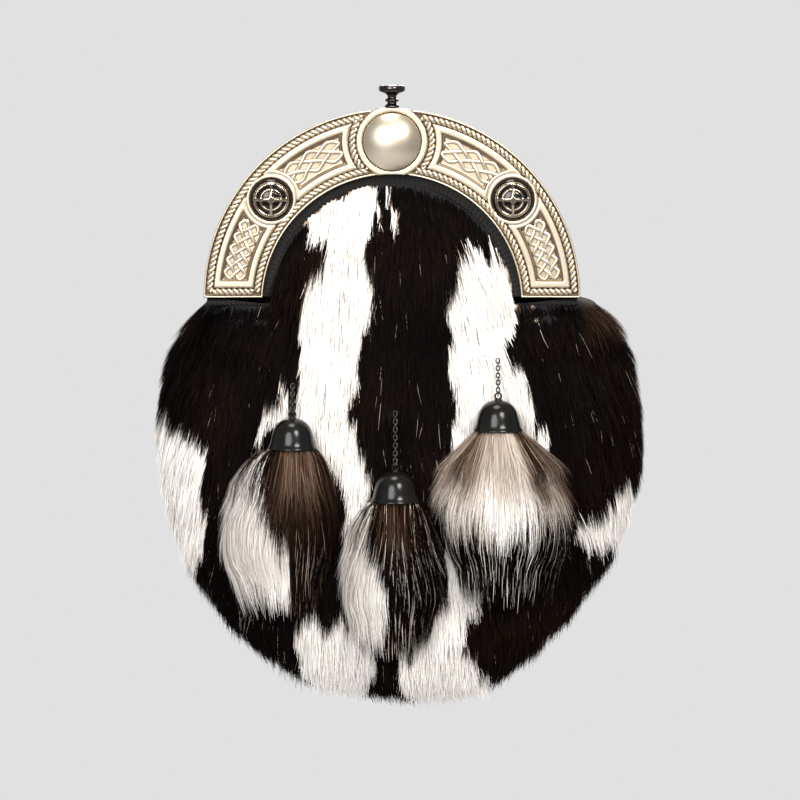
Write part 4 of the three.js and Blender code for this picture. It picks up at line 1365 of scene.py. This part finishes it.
# %% Belt loops
def belt_loop(side):
    low, high = box_mm("back_loop_" + side)
    base, top = max(low[1], back), high[1]
    middle, tab = 1.0, 8.5
    rows = [(high[2] - 0.2, base + middle), (high[2] - tab, base + middle), (high[2] - tab - 3, base + middle + 0.8),
            (high[2] - tab - 5.5, top - middle - 0.9), (high[2] - tab - 9, top - middle)]
    turn = (low[2] + high[2]) / 2
    rows += [(2 * turn - z, y) for z, y in rows[::-1]]
    path = np.array([p[::-1] for p in rounded([(y, z) for z, y in rows], 3)])
    path = np.stack([np.full(len(path), (low[0] + high[0]) / 2), path[:, 1], path[:, 0]], -1)
    half = (high[0] - low[0]) / 2
    tangent = np.gradient(path, axis=0)
    tangent /= np.linalg.norm(tangent, axis=1, keepdims=True)
    normal = np.cross(tangent, [1.0, 0, 0])
    section = [(-half, 0.5), (-half + 0.25, 0.85), (-half + 0.9, 1.0), (half - 0.9, 1.0), (half - 0.25, 0.85), (half, 0.5),
               (half, -0.8), (half - 0.3, -1.0), (-half + 0.3, -1.0), (-half, -0.8)]
    if normal[0, 1] < 0:
        normal = -normal
    points = np.stack([path + np.array([a, 0, 0]) + normal * b for a, b in section], 1)
    count = len(section)
    faces = grid_faces(len(path), count, wrap_columns=True).tolist()
    faces += [list(range(count))[::-1], list(range((len(path) - 1) * count, len(path) * count))]
    new_piece("belt_loop_" + side, points.reshape(-1, 3), faces, LEATHER, ["back_loop_" + side])
    heap = Heap()
    x0, x1 = low[0] + 2.4, high[0] - 2.4
    for z0, z1 in ((high[2] - 2.0, high[2] - 7.0), (low[2] + 2.0, low[2] + 7.0)):
        stitches(heap, np.array([(x0, z1), (x0, z0), (x1, z0), (x1, z1), (x0, z1)]), base + 2 * middle, 2.6, 1.8)
    points, faces, _ = heap.arrays()
    new_piece("loop_stitching_" + side, points, faces, THREAD)


belt_loop("left")
belt_loop("right")

# %% [markdown]
# ## Studio
# A pale grey surround and a pale floor well below keep attention on the piece. A wide soft light stands
# above and to the right, a weaker one to the left, and one overhead, so that the cast relief shows.

# %% Surround and floor
world = bpy.data.worlds.new("studio")
bpy.context.scene.world = world
world.use_nodes = True
tree = world.node_tree
tree.nodes.clear()
shown, lighting = tree.nodes.new("ShaderNodeBackground"), tree.nodes.new("ShaderNodeBackground")
shown.inputs["Color"].default_value = (0.753, 0.753, 0.753, 1)
lighting.inputs["Color"].default_value = (0.80, 0.81, 0.83, 1)
lighting.inputs["Strength"].default_value = 0.42
path = tree.nodes.new("ShaderNodeLightPath")
either = tree.nodes.new("ShaderNodeMixShader")
tree.links.new(path.outputs["Is Camera Ray"], either.inputs["Fac"])
tree.links.new(lighting.outputs[0], either.inputs[1])
tree.links.new(shown.outputs[0], either.inputs[2])
tree.links.new(either.outputs[0], tree.nodes.new("ShaderNodeOutputWorld").inputs["Surface"])

floor_finish = Finish("pale_floor", roughness=0.9)
floor_finish.set(base_color=floor_finish.ramp(floor_finish.noise(3, 2), (0.0, (0.50, 0.50, 0.50)), (1.0, (0.53, 0.53, 0.53))))
bpy.ops.mesh.primitive_circle_add(vertices=96, radius=1.0, fill_type="NGON", location=(0, 0, -0.45))
floor = bpy.context.object
floor.name = "floor"
floor.data.materials.append(floor_finish.material)


# %% Lights and camera
def soft_light(name, where, aim, size, power, colour=(1, 1, 1)):
    data = bpy.data.lights.new(name, "AREA")
    data.shape, data.size, data.energy, data.color = "DISK", size, power, colour
    light = bpy.data.objects.new(name, data)
    bpy.context.scene.collection.objects.link(light)
    light.location = where
    light.rotation_euler = (Vector(aim) - Vector(where)).to_track_quat("-Z", "Y").to_euler()
    return light


soft_light("key", (0.55, -1.15, 0.80), (0, 0, -0.02), 0.5, 18, (1.0, 0.98, 0.95))
soft_light("front", (-0.60, -1.55, 0.55), (0, 0, -0.06), 0.9, 23)
soft_light("catch", (0.02, -1.9, 0.42), (0, 0, -0.04), 0.14, 2.2)
soft_light("overhead", (-0.1, -0.25, 1.3), (0, 0, 0), 0.6, 9)
soft_light("behind", (0.2, 1.4, 0.7), (0, 0, -0.05), 0.8, 9)

scene = bpy.context.scene
data = bpy.data.cameras.new("camera")
camera = bpy.data.objects.new("camera", data)
scene.collection.objects.link(camera)
AIM, AWAY, ELEVATION, FIELD = Vector((0.0033, -0.022, -0.0582)), 1.9, math.radians(5), 0.328
camera.location = AIM + AWAY * Vector((0, -math.cos(ELEVATION), math.sin(ELEVATION)))
camera.rotation_euler = (AIM - camera.location).to_track_quat("-Z", "Y").to_euler()
data.lens = data.sensor_width * (AWAY - 0.01) / FIELD
data.clip_end = 10
scene.camera = camera
scene.view_settings.view_transform = "Standard"
